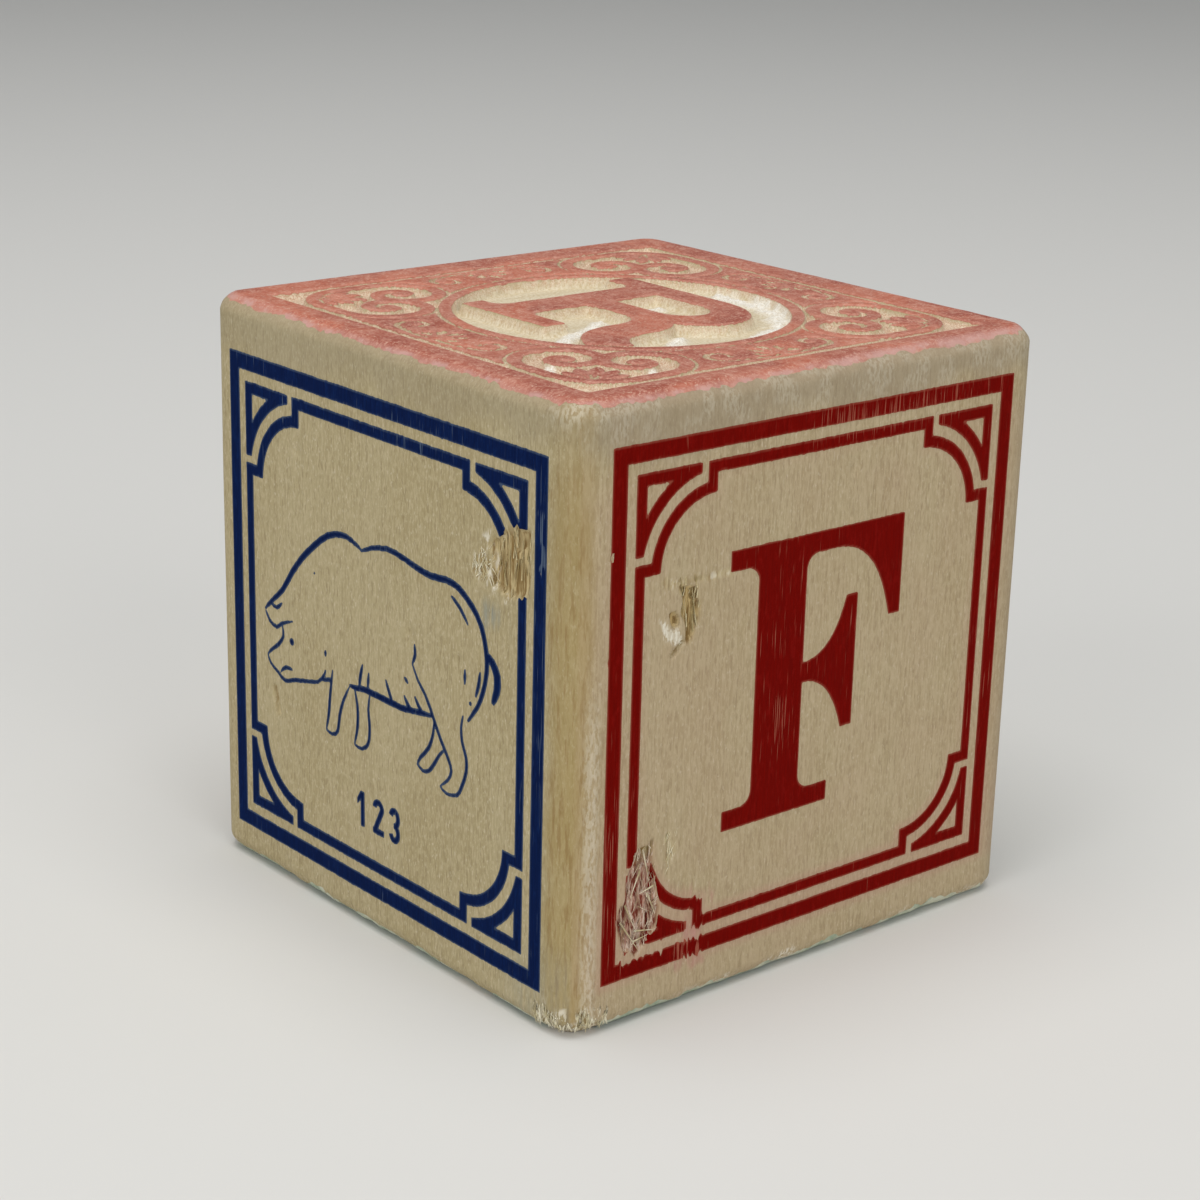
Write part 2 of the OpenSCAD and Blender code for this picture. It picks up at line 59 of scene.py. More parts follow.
# Its upright edges and its rims are rounded
EDGE_R = 2.4
RIM_R = 1.2
FLAT = HALF - EDGE_R
# Ink and paint stand this far above the wood, and paint thins out to this much down the rim
FILM_LIFT = 0.022
THIN_LIFT = 0.004
# A film's rim reaches this far down into the wood
FILM_ROOT = 0.03

# Pressed ends, in millimetres
RELIEF_DEPTH = 0.5
MEDALLION_DEPTH = 0.8
MEDALLION_R = 12.7
# Where the middle of each medallion lies
TOP_SHIFT = (-0.3, -0.5)
BOTTOM_SHIFT = (0.0, 0.0)

SIDES = ("front", "right", "back", "left")
FRAME = ("outer_border", "inner_border", "corner_spandrels")
PRINTS = {
    "front": (*FRAME, "letter"),
    "right": (*FRAME, "numeral"),
    "back": (*FRAME, "letter"),
    "left": (*FRAME, "pig", "caption"),
}
LANDS = ("border_paint", "ring_paint", "corner_scroll_paint", "side_scroll_paint", "letter_paint")

rng = np.random.default_rng(11)
LATTICE = rng.uniform(-1, 1, (256, 256))


# Numbers


def smooth(t):
    """0 below 0, 1 above 1, and a soft step between."""
    t = np.clip(t, 0, 1)
    return t * t * (3 - 2 * t)


def noise(u, v, u_mm, v_mm, layer):
    """Smooth noise from -1 to 1 whose patches are u_mm wide and v_mm high."""
    x = np.asarray(u) / u_mm + 17.3 * layer
    y = np.asarray(v) / v_mm + 41.7 * layer
    i, j = np.floor(x).astype(int), np.floor(y).astype(int)
    s, t = smooth(x - i), smooth(y - j)
    a, b = LATTICE[i & 255, j & 255], LATTICE[(i + 1) & 255, j & 255]
    c, d = LATTICE[i & 255, (j + 1) & 255], LATTICE[(i + 1) & 255, (j + 1) & 255]
    return (a * (1 - s) + b * s) * (1 - t) + (c * (1 - s) + d * s) * t


def rough(u, v, size, layer):
    """Noise of a size with a finer layer on it."""
    return 0.7 * noise(u, v, size, size, layer) + 0.3 * noise(u, v, size * 0.4, size * 0.4, layer + 1)


def distance_to_edge(u, v, start, end):
    """Distance from each place to a straight edge, in millimetres."""
    du, dv = end[0] - start[0], end[1] - start[1]
    t = np.clip(((u - start[0]) * du + (v - start[1]) * dv) / (du * du + dv * dv + 1e-12), 0, 1)
    return np.hypot(u - start[0] - t * du, v - start[1] - t * dv)


def distance_to_path(u, v, points, closed=False):
    """Distance from each place to a line through points, in millimetres."""
    ends = points[1:] + points[:1] if closed else points[1:]
    return np.minimum.reduce([distance_to_edge(u, v, a, b) for a, b in zip(points, ends)])


def inside_path(u, v, points):
    """True where a place is inside a closed line."""
    p = np.array(points, float)
    odd = np.zeros(np.shape(u), bool)
    for (ax, ay), (bx, by) in zip(p, np.roll(p, -1, axis=0)):
        if ay != by:
            crosses = (ay > v) != (by > v)
            odd ^= crosses & (u < ax + (v - ay) * (bx - ax) / (by - ay))
    return odd


def patch(u, v, points):
    """Signed distance to a closed outline, negative inside."""
    d = distance_to_path(u, v, points, closed=True)
    return np.where(inside_path(u, v, points), -d, d)


# Outlines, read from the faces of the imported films

# The way that each face looks
OUTWARD = {
    "front": (0, -1, 0), "right": (1, 0, 0), "back": (0, 1, 0), "left": (-1, 0, 0),
    "top": (0, 0, 1), "bottom": (0, 0, -1),
}
# A film's outer face lies this close to its highest place
FACE_DEPTH = 0.01


def outline_edges(node, side):
    """Edges round the outer face of a film, as pairs of places in the side's own millimetres."""
    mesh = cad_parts[node].data
    mesh.calc_loop_triangles()
    co = np.array([v.co for v in mesh.vertices]) / MM
    tris = np.array([t.vertices for t in mesh.loop_triangles])
    height = co @ OUTWARD[side]
    tris = tris[(height[tris] > height.max() - FACE_DEPTH).all(axis=1)]
    keys = {}
    ids = [keys.setdefault((round(a, 3), round(b, 3)), len(keys)) for a, b in side_place(side, co)]
    places = np.array(list(keys))
    # An edge that two triangles share runs both ways and falls out, which leaves the outline
    outline = {}
    for t in tris:
        a, b, c = (ids[k] for k in t)
        for edge in ((a, b), (b, c), (c, a)):
            if edge[::-1] in outline:
                del outline[edge[::-1]]
            else:
                outline[edge] = True
    return np.array([[places[a], places[b]] for a, b in outline])


def side_place(side, co):
    """Places on a side, seen from outside: to the right and up. On an end they are plain x and y."""
    x, y, z = co[..., 0], co[..., 1], co[..., 2]
    across = {"front": x, "back": -x, "left": -y, "right": y, "top": x, "bottom": x}[side]
    up = y if side in ("top", "bottom") else z - MID
    return np.stack([across, up], axis=-1)


# Distances to an outline are exact up to here
REACH = 1.4


def signed_distance(us, vs, edges):
    """Signed distance on a grid to closed outlines, exact to REACH and negative inside."""
    best = np.full((len(us), len(vs)), REACH)
    flips = np.zeros((len(us) + 1, len(vs)), int)
    for (ax, ay), (bx, by) in edges:
        i0, i1 = np.searchsorted(us, [min(ax, bx) - REACH, max(ax, bx) + REACH])
        j0, j1 = np.searchsorted(vs, [min(ay, by) - REACH, max(ay, by) + REACH])
        if i0 < i1 and j0 < j1:
            d = distance_to_edge(us[i0:i1, None], vs[None, j0:j1], (ax, ay), (bx, by))
            best[i0:i1, j0:j1] = np.minimum(best[i0:i1, j0:j1], d)
        lo, hi = np.searchsorted(vs, sorted((ay, by)))
        if lo < hi:
            rows = vs[lo:hi]
            cross_u = ax + (rows - ay) * (bx - ax) / (by - ay)
            np.add.at(flips, (np.searchsorted(us, cross_u), np.arange(lo, hi)), 1)
    inside = np.cumsum(flips, axis=0)[:-1] % 2 == 1
    return np.where(inside, -best, best)


def sampled(us, vs, field, u, v):
    """A grid's field at other places."""
    x = np.clip((u - us[0]) / (us[1] - us[0]), 0, len(us) - 1.001)
    y = np.clip((v - vs[0]) / (vs[1] - vs[0]), 0, len(vs) - 1.001)
    i, j = x.astype(int), y.astype(int)
    s, t = x - i, y - j
    low = field[i, j] * (1 - s) + field[i + 1, j] * s
    high = field[i, j + 1] * (1 - s) + field[i + 1, j + 1] * s
    return low * (1 - t) + high * t


# Damage, in millimetres from the middle of each side

FRONT_POCKET = [
    (-13.2, 9.1), (-12.5, 9.1), (-11.4, 8.8), (-11.1, 7.5),
    (-11.2, 6.2), (-11.7, 5.1), (-12.3, 4.4), (-12.9, 7.2),
]
FRONT_FLAP = [
    (-15.0, 7.0), (-14.2, 6.7), (-13.6, 6.0), (-12.8, 5.9), (-12.4, 4.6), (-13.4, 4.7), (-14.5, 5.5),
]
FRONT_NOTCH = [(-14.3, 9.2), (-13.8, 9.0), (-13.3, 9.05)]
FRONT_HOLE = [(-14.2, 7.3), (-13.3, 7.3), (-12.9, 6.3), (-13.5, 5.9), (-13.9, 6.4)]
FRONT_RIDGE = [(-14.4, 9.4), (-12.2, 9.1), (-10.3, 9.1), (-8.6, 9.2)]
FRONT_CRACK = [(-12.6, 4.9), (-13.6, 4.1)]
FRONT_TEAR = [
    (-16.2, -9.4), (-14.8, -9.1), (-14.3, -12.4), (-14.0, -14.3), (-14.1, -15.6), (-14.8, -16.7),
    (-15.6, -17.4), (-16.6, -17.6), (-17.4, -16.6), (-17.9, -14.4), (-17.2, -12.5), (-16.9, -10.6),
]
FRONT_SCUFF = [(-14.4, -8.3), (-12.1, -8.9), (-12.3, -10.4), (-13.5, -12.9), (-14.1, -12.5)]
FRONT_SMEAR = [(-11.0, -14.2), (-9.7, -14.6), (-9.9, -19.7), (-11.6, -19.2), (-11.6, -17.7)]
LEFT_TEAR = [
    (14.4, 12.6), (15.7, 13.2), (17.4, 13.3), (17.7, 12.0), (17.6, 10.0), (17.4, 8.2), (16.4, 8.2),
    (15.2, 7.7), (14.3, 7.9), (13.3, 8.3), (13.1, 9.0), (13.5, 10.0), (12.9, 10.9), (12.5, 11.3),
    (13.5, 11.9),
]
LEFT_FRAY = [(10.7, 9.9), (12.2, 11.0), (13.5, 10.3), (13.4, 8.7), (11.5, 8.2), (10.9, 9.1)]
LEFT_STAIN = [(11.9, 7.2), (15.3, 7.8), (15.2, 5.2), (12.6, 4.9)]
LEFT_RUB = [(18.4, 14.2), (18.8, 11.0)]
LEFT_SLIT = [(-13.8, -7.0), (-13.3, -8.8)]
# Dents, each with its middle and its reach
DENTS = {
    "front": [((3.0, 14.6), 0.7), ((-19.4, 4.7), 0.35), ((-19.1, 12.0), 0.3)],
    "right": [((11.6, 6.0), 1.1), ((-11.8, -3.5), 0.9)],
    "back": [((11.6, 6.0), 1.1), ((-11.8, -3.5), 0.9)],
    "left": [((3.9, 2.4), 0.8), ((-10.2, 12.6), 0.6), ((9.6, 2.0), 0.5)],
}
DENT_DEPTH = 0.16


def splinters(u, v, width, length, layer):
    """Broken fibres, from 0 to 1: upright strips, each in steps that deepen along the grain."""
    strip = np.floor((u + 0.5 * width * noise(u, v, 3 * width, length, layer)) / width).astype(int)
    down = np.where(LATTICE[strip & 255, layer + 9] > 0, 1, -1)
    t = down * v / length + 3 * LATTICE[strip & 255, layer]
    step = np.floor(t).astype(int)
    return (0.5 + 0.5 * LATTICE[(strip + 31) & 255, step & 255]) * (0.35 + 0.65 * (t - step))


def damaged(u, v, shape, ragged, border):
    """1 inside a shape and 0 outside it, with a ragged edge and a border so many millimetres wide."""
    return smooth(-(patch(u, v, shape) + ragged) / border)


def front_damage(u, v):
    """The front's torn corner of print, its gouge with the flap below, and the scuffs beside them."""
    fibres = 0.42 * splinters(u, v, 0.36, 2.4, 7) + 0.18 * splinters(u, v, 0.2, 1.2, 8)
    ragged = 0.25 * noise(u, v, 0.3, 0.9, 9)
    tear = damaged(u, v, FRONT_TEAR, ragged, 0.35)
    pocket = damaged(u, v, FRONT_POCKET, 0.6 * ragged, 0.35)
    hole = damaged(u, v, FRONT_HOLE, 0.5 * ragged, 0.25)
    flap = damaged(u, v, FRONT_FLAP, 0.5 * ragged, 0.25)
    scuff = damaged(u, v, FRONT_SCUFF, 2 * ragged, 0.8) * splinters(u, v, 0.28, 1.6, 6)
    smear = damaged(u, v, FRONT_SMEAR, 3 * ragged, 0.8) * splinters(u, v, 0.3, 3.0, 5)
    ridge = smooth(1.2 - (distance_to_path(u, v, FRONT_RIDGE) + ragged) / 0.35)
    crack = smooth(1.1 - distance_to_path(u, v, FRONT_CRACK) / 0.22)
    notch = smooth(1.1 - (distance_to_path(u, v, FRONT_NOTCH) + 1.5 * np.abs(ragged)) / 0.2)
    depth = tear * (0.14 + fibres) + pocket * (0.16 + 0.7 * fibres) + scuff * 0.12
    depth = depth + hole * 0.45 + crack * 0.4 + notch * 0.06
    depth = depth + ridge * 0.14 * splinters(u, v, 0.3, 0.8, 4)
    torn = np.maximum.reduce([tear, pocket, hole, crack, notch, ridge * 0.5, scuff * 0.8])
    inked = np.maximum(tear * smooth((-9.6 - v) / 1.6), 0.3 * smear)
    lint = smooth(3 * noise(u, v, 0.3, 1.0, 10) - 0.6) * np.maximum(ridge * (1 - pocket), scuff)
    margin = smooth(1.3 - np.abs(u + 20.4) / 0.7) * smooth((6 - v) / 9)
    pale = np.maximum.reduce([flap, 0.5 * lint, 0.3 * margin])
    # The last number is painted shade: dark brown in the pocket, the hole and the notch
    return depth, torn, inked, pale, np.maximum.reduce([pocket, hole, notch])


def left_damage(u, v):
    """The left side's tear beside its frame, with the fray left of it, and a slit."""
    fibres = 0.26 * splinters(u, v, 0.5, 6.0, 17) + 0.08 * splinters(u, v, 0.2, 2.4, 18)
    ragged = 0.3 * noise(u, v, 0.3, 0.9, 19)
    tear = damaged(u, v, LEFT_TEAR, ragged, 0.5)
    fray = damaged(u, v, LEFT_FRAY, ragged, 0.5)
    slit = smooth(1 - distance_to_path(u, v, LEFT_SLIT) / 0.45)
    depth = np.maximum(tear * (0.16 + fibres), fray * (0.04 + 0.5 * fibres)) + slit * 0.4
    torn = np.maximum.reduce([tear, fray * 0.8, slit * 0.8])
    lip = smooth(1.2 - np.abs(patch(u, v, LEFT_TEAR)) / 0.6) * smooth((16.0 - u) / 2)
    pale = smooth(3 * noise(u, v, 0.3, 0.9, 11) - 0.2) * np.maximum(0.9 * fray, lip)
    # The last number is painted shade: dark brown over half the tear
    return depth, torn, 0 * torn, pale, 0.5 * tear


def side_damage(side, u, v):
    """Depth of wear on a side, and how far its wood is torn, inked where torn or smeared, pale with loose
    fibres, and painted darker brown for the shade down in hollows, each from 0 to 1."""
    torn_sides = {"front": front_damage, "left": left_damage}
    if side in torn_sides:
        depth, torn, inked, pale, hollow_shade = torn_sides[side](u, v)
    else:
        depth, torn, inked, pale, hollow_shade = np.zeros((5, *np.shape(u)))
    # Sanding left the wood a little uneven along its grain
    depth = depth + 0.012 * (noise(u, v, 0.5, 9, 3) + 1) + 0.01 * (noise(u, v, 6, 14, 5) + 1)
    for (du, dv), reach in DENTS[side]:
        depth = depth + DENT_DEPTH * smooth(1.2 - np.hypot((u - du) * 1.5, v - dv) / reach)
    return depth, torn, inked, pale, hollow_shade


# Meshes


class Mesh:
    """Vertices in millimetres, faces, and named numbers for each vertex, 0 where none is given."""

    def __init__(self):
        self.chunks, self.faces, self.count = [], [], 0

    def add(self, places, faces, **numbers):
        """Adds vertices and faces, and gives the place of the first vertex in the list."""
        places = np.asarray(places, float).reshape(-1, 3)
        self.chunks.append((places, numbers))
        self.faces += [tuple(int(k) + self.count for k in face) for face in faces]
        self.count += len(places)
        return self.count - len(places)

    def column(self, key):
        """One named number for every vertex."""
        parts = [np.broadcast_to(np.ravel(numbers.get(key, 0.0)), len(p)) for p, numbers in self.chunks]
        return np.concatenate(parts).astype(np.float32)

    def build(self, name, material, merge=0.0, crease=0.0):
        """Makes the piece. Vertices closer than merge are joined, and bends over crease degrees stay
        sharp."""
        data = bpy.data.meshes.new(name)
        places = np.concatenate([places for places, numbers in self.chunks])
        data.from_pydata((places * MM).tolist(), [], self.faces)
        for key in dict.fromkeys(key for places, numbers in self.chunks for key in numbers):
            data.attributes.new(key, "FLOAT", "POINT").data.foreach_set("value", self.column(key))
        piece = bpy.data.objects.new(name, data)
        bpy.context.scene.collection.objects.link(piece)
        if merge:
            weld = piece.modifiers.new("weld", "WELD")
            weld.merge_threshold = merge * MM
            bpy.context.view_layer.objects.active = piece
            with bpy.context.temp_override(object=piece, active_object=piece, selected_objects=[piece]):
                bpy.ops.object.modifier_apply(modifier=weld.name)
        piece.data.shade_smooth()
        if crease:
            piece.data.set_sharp_from_angle(angle=radians(crease))
        piece.data.materials.append(material)
        return piece


def grid_faces(n, m, closed=False, flip=False):
    """Quads over n by m vertices. A closed grid joins its last row to its first."""
    i = np.arange(n if closed else n - 1)[:, None]
    j = np.arange(m - 1)[None, :]
    a, b = i * m + j, (i + 1) % n * m + j
    quads = np.stack([a, b, b + 1, a + 1], axis=-1).reshape(-1, 4)
    return quads[:, ::-1] if flip else quads


def film(mesh, upper, lower, field, **numbers):
    """Adds the part of a grid where field is negative, cut along its edge, with a rim down to lower."""
    n, m = field.shape
    numbers = {name: np.broadcast_to(value, (n, m)) for name, value in numbers.items()}
    inside = field < 0
    base = int(inside.sum())
    ids = np.full((n, m), -1)
    ids[inside] = np.arange(base)
    corners = [(0, 0), (1, 0), (1, 1), (0, 1)]
    cell = sum(inside[a : n - 1 + a, b : m - 1 + b].astype(int) for a, b in corners)
    faces = [[ids[i + a, j + b] for a, b in corners] for i, j in np.argwhere(cell == 4)]
    # Pairs of neighbours that the film's edge runs between, each with its number, and the rim's edges
    cuts, rims = {}, []
    for i, j in np.argwhere((cell > 0) & (cell < 4)):
        ring = [(i + a, j + b) for a, b in corners]
        face, edge = [], []
        for p, q in zip(ring, ring[1:] + ring[:1]):
            if inside[p]:
                face.append(ids[p])
            if inside[p] != inside[q]:
                cut = cuts.setdefault((min(p, q), max(p, q)), len(cuts))
                edge.append((cut, inside[p]))
                face.append(base + cut)
        faces.append(face)
        for k, (cut, leaving) in enumerate(edge):
            if leaving:
                rims.append((cut, edge[(k + 1) % len(edge)][0]))
    low = base + len(cuts)
    faces += [(base + b, base + a, low + a, low + b) for a, b in rims]
    p, q = (tuple(ends) for ends in np.array(list(cuts), int).reshape(-1, 2, 2).transpose(1, 2, 0))
    t = np.clip(field[p] / (field[p] - field[q]), 0.02, 0.98)

    def at_cuts(grid):
        """What a grid holds where the edge crosses it."""
        return (grid[p].T * (1 - t) + grid[q].T * t).T

    places = np.concatenate([upper[inside], at_cuts(upper), at_cuts(lower)])
    for name, grid in numbers.items():
        crossed = at_cuts(grid)
        numbers[name] = np.concatenate([grid[inside], crossed, crossed])
    mesh.add(places, faces, **numbers)


def zipped(a_ids, a_turn, b_ids, b_turn):
    """Triangles between two closed rings, walked by the turn of their vertices, from 0 to 1."""
    faces, i, j = [], 0, 0
    n, m = len(a_ids), len(b_ids)
    while i < n or j < m:
        next_a = a_turn[i + 1] if i + 1 < n else 1 + a_turn[(i + 1) % n] if i < n else 9
        next_b = b_turn[j + 1] if j + 1 < m else 1 + b_turn[(j + 1) % m] if j < m else 9
        if i < n and (next_a <= next_b or j == m):
            faces.append((a_ids[i % n], a_ids[(i + 1) % n], b_ids[j % m]))
            i += 1
        else:
            faces.append((a_ids[i % n], b_ids[(j + 1) % m], b_ids[j % m]))
            j += 1
    return faces


# The wooden cube


def spaced(start, end, coarse, fine_spans, fine):
    """Places from start to end, a coarse step apart, or a fine one inside the spans."""
    places = [start]
    while places[-1] < end - 1e-9:
        step = fine if any(a <= places[-1] <= b for a, b in fine_spans) else coarse
        places.append(min(places[-1] + step, end))
    if len(places) > 2 and places[-1] - places[-2] < 0.3 * fine:
        del places[-2]
    return np.array(places)


# Spans across each side where its damage needs closer columns, and the steps between columns
FINE_SPANS = {"front": [(-18.4, -8.4)], "left": [(10.4, 17.6), (-14.6, -12.4)], "right": [], "back": []}
FINE_COLUMN = 0.12
COARSE_COLUMN = {"front": 0.3, "right": 0.5, "back": 0.5, "left": 0.3}
EDGE_STEPS = 12


def plan_columns():
    """The cube's outline seen from above: places, directions out, and the side and place across it."""
    rows = []
    for k, side in enumerate(SIDES):
        nx, ny, _ = OUTWARD[side]
        for u in spaced(-FLAT, FLAT, COARSE_COLUMN[side], FINE_SPANS[side], FINE_COLUMN):
            rows.append((nx * HALF - ny * u, ny * HALF + nx * u, nx, ny, k, u))
        # The rounded edge after the side: its first half belongs to it, and the rest to the next side
        start = k * 90 - 90
        for s in range(1, EDGE_STEPS):
            a = radians(start + 90 * s / EDGE_STEPS)
            cx = FLAT * (1 if -90 <= start < 90 else -1)
            cy = FLAT * (-1 if start in (-90, 180) else 1)
            after = s > EDGE_STEPS / 2
            turn = EDGE_R * (pi / 2 * s / EDGE_STEPS)
            u = -FLAT - EDGE_R * pi / 2 + turn if after else FLAT + turn
            rows.append((cx + EDGE_R * cos(a), cy + EDGE_R * sin(a), cos(a), sin(a), (k + after) % 4, u))
    return np.array(rows)


RIM_STEPS = 8
# The grid of the sides runs on this far over each end, to the pressed grid, with a row on the way
RIM_SHELF = 2.35
MID_SHELF = 1.8
COARSE_ROW, FINE_ROW = 0.5, 0.2
# Heights where the damage needs closer rows
FINE_ROWS = [(BASE + RIM_R, BASE + 16), (MID + 2, MID + 15)]


def profile_rows():
    """The cube's outline seen from a side, from its base to its top: inset, height and lean."""
    rim = []
    for k in range(RIM_STEPS + 1):
        a = radians(90 * k / RIM_STEPS)
        rim.append((RIM_R * (1 - cos(a)), RIM_R * (1 - sin(a)), np.degrees(a)))
    rim += [(MID_SHELF, 0, 90), (RIM_SHELF, 0, 90)]
    lower = [(inset, BASE + down, -lean) for inset, down, lean in reversed(rim)]
    upper = [(inset, TOP - down, lean) for inset, down, lean in rim]
    heights = spaced(BASE + RIM_R, TOP - RIM_R, COARSE_ROW, FINE_ROWS, FINE_ROW)
    return np.array(lower + [(0, z, 0) for z in heights[1:-1]] + upper)


COLUMNS = plan_columns()
PROFILE = profile_rows()


def chip_depth(u, z, side):
    """Wood knocked off the lower corner between the front and the left side."""
    along = np.where(side == 0, u + HALF + 1.0, HALF + 1.0 - u)
    near = np.isin(side, (0, 3)) * smooth(1.3 - along / 4.2)
    ragged = 1.1 + 0.7 * noise(u, z, 0.4, 8, 23)
    return near * smooth((1.7 * ragged - (z - BASE)) / 1.2) * (0.5 + 0.3 * noise(u, z, 0.25, 8, 24))


def blush(u, v, side):
    """Red ink wiped thinly over the wood close to the front's frame, most at its foot."""
    us = np.arange(-FLAT, FLAT, 0.3)
    near = np.full((len(us), len(us)), REACH)
    for part in FRAME:
        near = np.minimum(near, np.abs(signed_distance(us, us, outline_edges(f"front_{part}", "front"))))
    wiped = smooth(1 - sampled(us, us, near, u, v) / 0.9) * (0.08 + 0.2 * smooth((-9 - v) / 5))
    smear = smooth(-(patch(u, v, FRONT_SMEAR) + 1.4 * noise(u, v, 0.35, 1.6, 9)) / 0.9)
    return np.maximum(wiped, smear * (0.6 + 0.4 * noise(u, v, 0.25, 1.8, 8))) * (side == 0)


def rim_lint(u, z, side, knocked):
    """Fibres raised at the knocked corner, under the paint of the near top corner and along the front's
    rims, from 0 to 1."""
    front = side == 0
    near = np.isin(side, (0, 3)) * smooth(1.4 - np.abs(np.where(front, u, -u) + HALF) / 3.2)
    tufts = 0.9 * smooth(0.6 + 2.5 * noise(u, z, 0.3, 0.8, 25)) * smooth((BASE + 3.4 - z) / 1.8)
    haze = 0.34 * smooth(0.7 + noise(u, z, 0.9, 1.2, 25)) * smooth((z - TOP + 2.6) / 2)
    rubbed = 0.2 * smooth(0.5 + 1.2 * noise(u, z, 0.9, 1.4, 21)) * smooth((z - TOP + 4) / 2)
    high = BASE + 1.0 + 0.6 * noise(u, z, 0.6, 9, 27)
    scuffed = 0.85 * smooth((high - z) / 0.4) * smooth(0.5 + 1.6 * noise(u, z, 2.6, 9, 26))
    places = [near * tufts, near * haze, front * rubbed, front * scuffed, 0.7 * smooth(knocked * 4)]
    return np.maximum.reduce(places)


def shell():
    """The four sides with their rims, worn: places, directions out, the looks of the wood there, how deep
    it is knocked off, and the distance across, the height and the side of each place."""
    inset, z, lean = PROFILE[:, 0][None], PROFILE[:, 1][None], np.radians(PROFILE[:, 2])[None]
    x, y, nx, ny, side, u = (COLUMNS[:, k][:, None] for k in range(6))
    u, zz, side = (np.broadcast_to(a, (len(COLUMNS), len(PROFILE))) for a in (u, z, side))
    wear = np.zeros((5, *u.shape))
    for k, name in enumerate(SIDES):
        here = side == k
        wear[:, here] = side_damage(name, u[here], zz[here] - MID)
    depth, torn, inked, pale, hollow_shade = wear
    around = np.arctan2(y, x) * HALF
    rim = np.abs(np.sin(2 * lean))
    depth = depth * np.cos(lean) + rim * 0.10 * (1 + rough(around, zz, 1.3, 31))
    knocked = chip_depth(u, zz, side)
    depth = depth + knocked * np.cos(lean) ** 0.5
    torn = np.maximum(torn, smooth(knocked * 2.5))
    pale = np.maximum(pale, rim_lint(u, zz, side, knocked))
    out = np.stack([nx * np.cos(lean), ny * np.cos(lean), np.sin(lean) + 0 * nx], axis=-1)
    flat = np.stack([x - nx * inset, y - ny * inset, z + 0 * x], axis=-1)
    looks = {"torn": torn, "inked": inked, "pale": pale, "hollow_shade": hollow_shade}
    looks["blush"] = blush(u, zz - MID, side)
    return flat - out * depth[..., None], out, looks, knocked, u, zz, side


SHELL, SHELL_OUT, SHELL_LOOKS, SHELL_KNOCKED, SHELL_U, SHELL_Z, SHELL_SIDE = shell()


def ring_turn(places):
    """Turn of each place round the middle of a square ring, from 0 to 1, from its front left corner."""
    x, y = places[:, 0], places[:, 1]
    reach = np.maximum(np.abs(x), np.abs(y))
    s = np.select(
        [-y >= reach - 1e-6, x >= reach - 1e-6, y >= reach - 1e-6],
        [x + reach, 2 * reach + y + reach, 4 * reach + reach - x],
        6 * reach + reach - y,
    )
    return s / (8 * reach)


# The pressed grid runs this far from the middle of an end
PRESSED_REACH = 19.7

# Lines along which torn white fibres stand on the pressed ground, and how wide they spread
TORN_GROUND = {
    "top": [
        ([(-5.5, -12.3), (1.3, -12.4), (6.8, -10.2), (10.0, -6.8), (11.2, -3.2), (11.2, 1.4)], 1.1),
        ([(-2.8, -0.9), (-6.0, -2.9), (-9.0, -4.4), (-11.2, -6.2)], 0.9),
        ([(1.0, 0.6), (4.4, 0.6)], 0.8),
        ([(-1.4, -8.4), (-4.6, -11.0)], 0.9),
        ([(9.0, 2.4), (9.2, -0.6)], 0.8),
        ([(-17.5, -13.5), (-16.0, -11.5)], 0.5),
        ([(-13.0, -17.6), (-11.0, -16.6)], 0.6),
        ([(14.0, 10.0), (15.5, 12.0)], 0.6),
    ],
    "bottom": [([(-8.0, 6.0), (-5.0, 8.5)], 0.9), ([(6.0, -9.0), (9.0, -6.5)], 0.9)],
}


